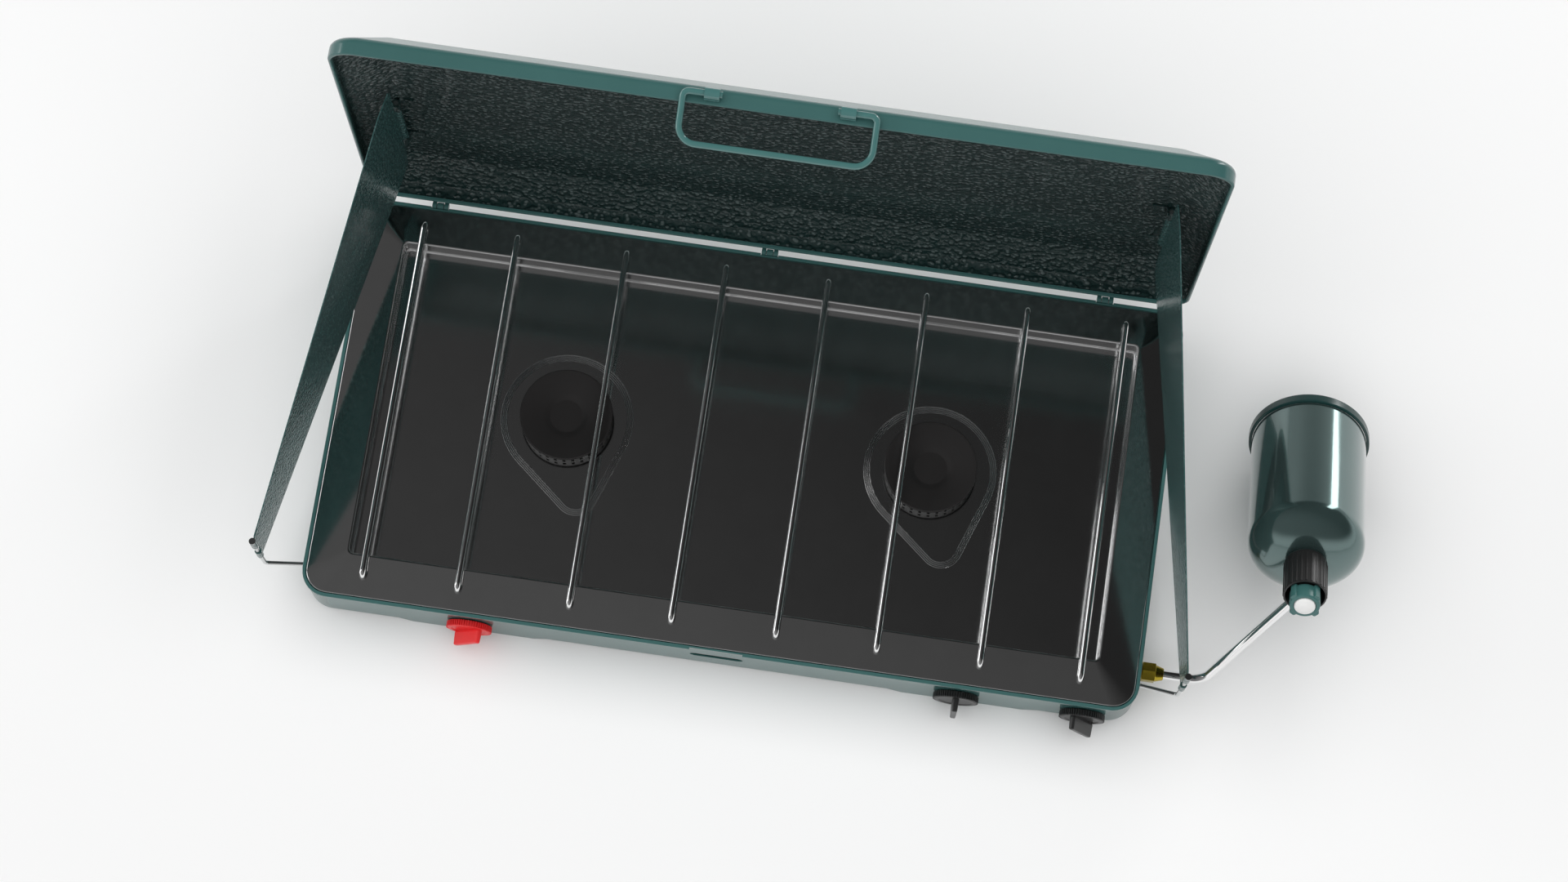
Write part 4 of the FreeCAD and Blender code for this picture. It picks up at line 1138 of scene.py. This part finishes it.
# %% Turn the regulator
SHROUD_RIBS, shroud_r, bore_r, neck_r = 26, SHROUD_R - 0.35, SHROUD_R - 1.6, NECK_R + 0.05
shroud = bent([(shroud_r, SHROUD_FAR + 8), (shroud_r, SHROUD_NEAR), (bore_r, SHROUD_NEAR),
               (bore_r, SHROUD_FAR + 2.4), (neck_r, SHROUD_FAR + 2.4), (neck_r, SHROUD_FAR),
               (shroud_r, SHROUD_FAR), (shroud_r, SHROUD_FAR + 8)], (0.4, 0.3, 0.3, 0.3, 0.3, 2.6), 5)
turned("regulator_housing", shroud, "gas_line", "regulator_shroud", "black_plastic", 72,
       (SHROUD_RIBS, SHROUD_R - 0.5, 1.5, 1.0, 0.35, SHROUD_FAR + 4.0, SHROUD_NEAR - 1.0))

# %% Turn the hand wheel and its cap
WHEEL_R, WHEEL_L, WHEEL_SUNK, CAP_R = 11.5, 10.4, 1.6, 6.75
LOBES, LOBE_W, LOBE_H, LOBE_TURN = 4, 4.7, 1.7, 52.0
wheel_low = SHROUD_NEAR - WHEEL_SUNK
wheel_high, rim_r = wheel_low + WHEEL_L, WHEEL_R - LOBE_H
wheel = bent([(0, wheel_low), (rim_r, wheel_low), (rim_r, wheel_high), (CAP_R + 0.3, wheel_high),
              (CAP_R + 0.3, wheel_high - 1.5), (0, wheel_high - 1.5)], (0.6, 1.0, 0.4, 0.2), 4)
turned("regulator_handwheel", wheel, "wheel", "regulator_wheel", "green_plastic", 72,
       (LOBES, WHEEL_R - 2.4, LOBE_W, 4.8, 1.3, wheel_low + 0.3, wheel_high - 0.5, LOBE_TURN))
cap = bent([(0, wheel_high - 1.45), (CAP_R, wheel_high - 1.45), (CAP_R, wheel_high + 1.0),
            (3.0, wheel_high + 2.4), (0, wheel_high + 2.7)], (0.3, 1.2, 4.0), 5)
turned("handwheel_cap", cap, "wheel", "regulator_cap", "white_cap", 48)

# %% [markdown]
# ## Finish the carried-over parts
# What is left lies inside the case, behind the knobs or under the burners. Its
# shape is right as it is, so it only needs a finish. Each rule gives the start
# of a part's name and the finish that it takes; the first that fits is used.

# %% Give the other frame parts their finish
NODE_FINISH = (
    ("hinge_pins", "wire_steel"), ("valve_body", "brass"), ("jet_", "brass"), ("inlet_", "brass"),
    ("igniter_body", "black_plastic"), ("valve_stem", "wire_steel"), ("igniter_stem", "wire_steel"),
    ("regulator_", "black_plastic"), ("cylinder_valve", "brass"), ("case_", "case_paint"),
    ("", "dark_steel"))
for node, part in frame["nodes"].items():
    finish = next(f for start, f in NODE_FINISH if node.startswith(start))
    for slot in part.material_slots:
        slot.material = FINISH[finish]
print(len(frame["nodes"]), "frame parts finished")
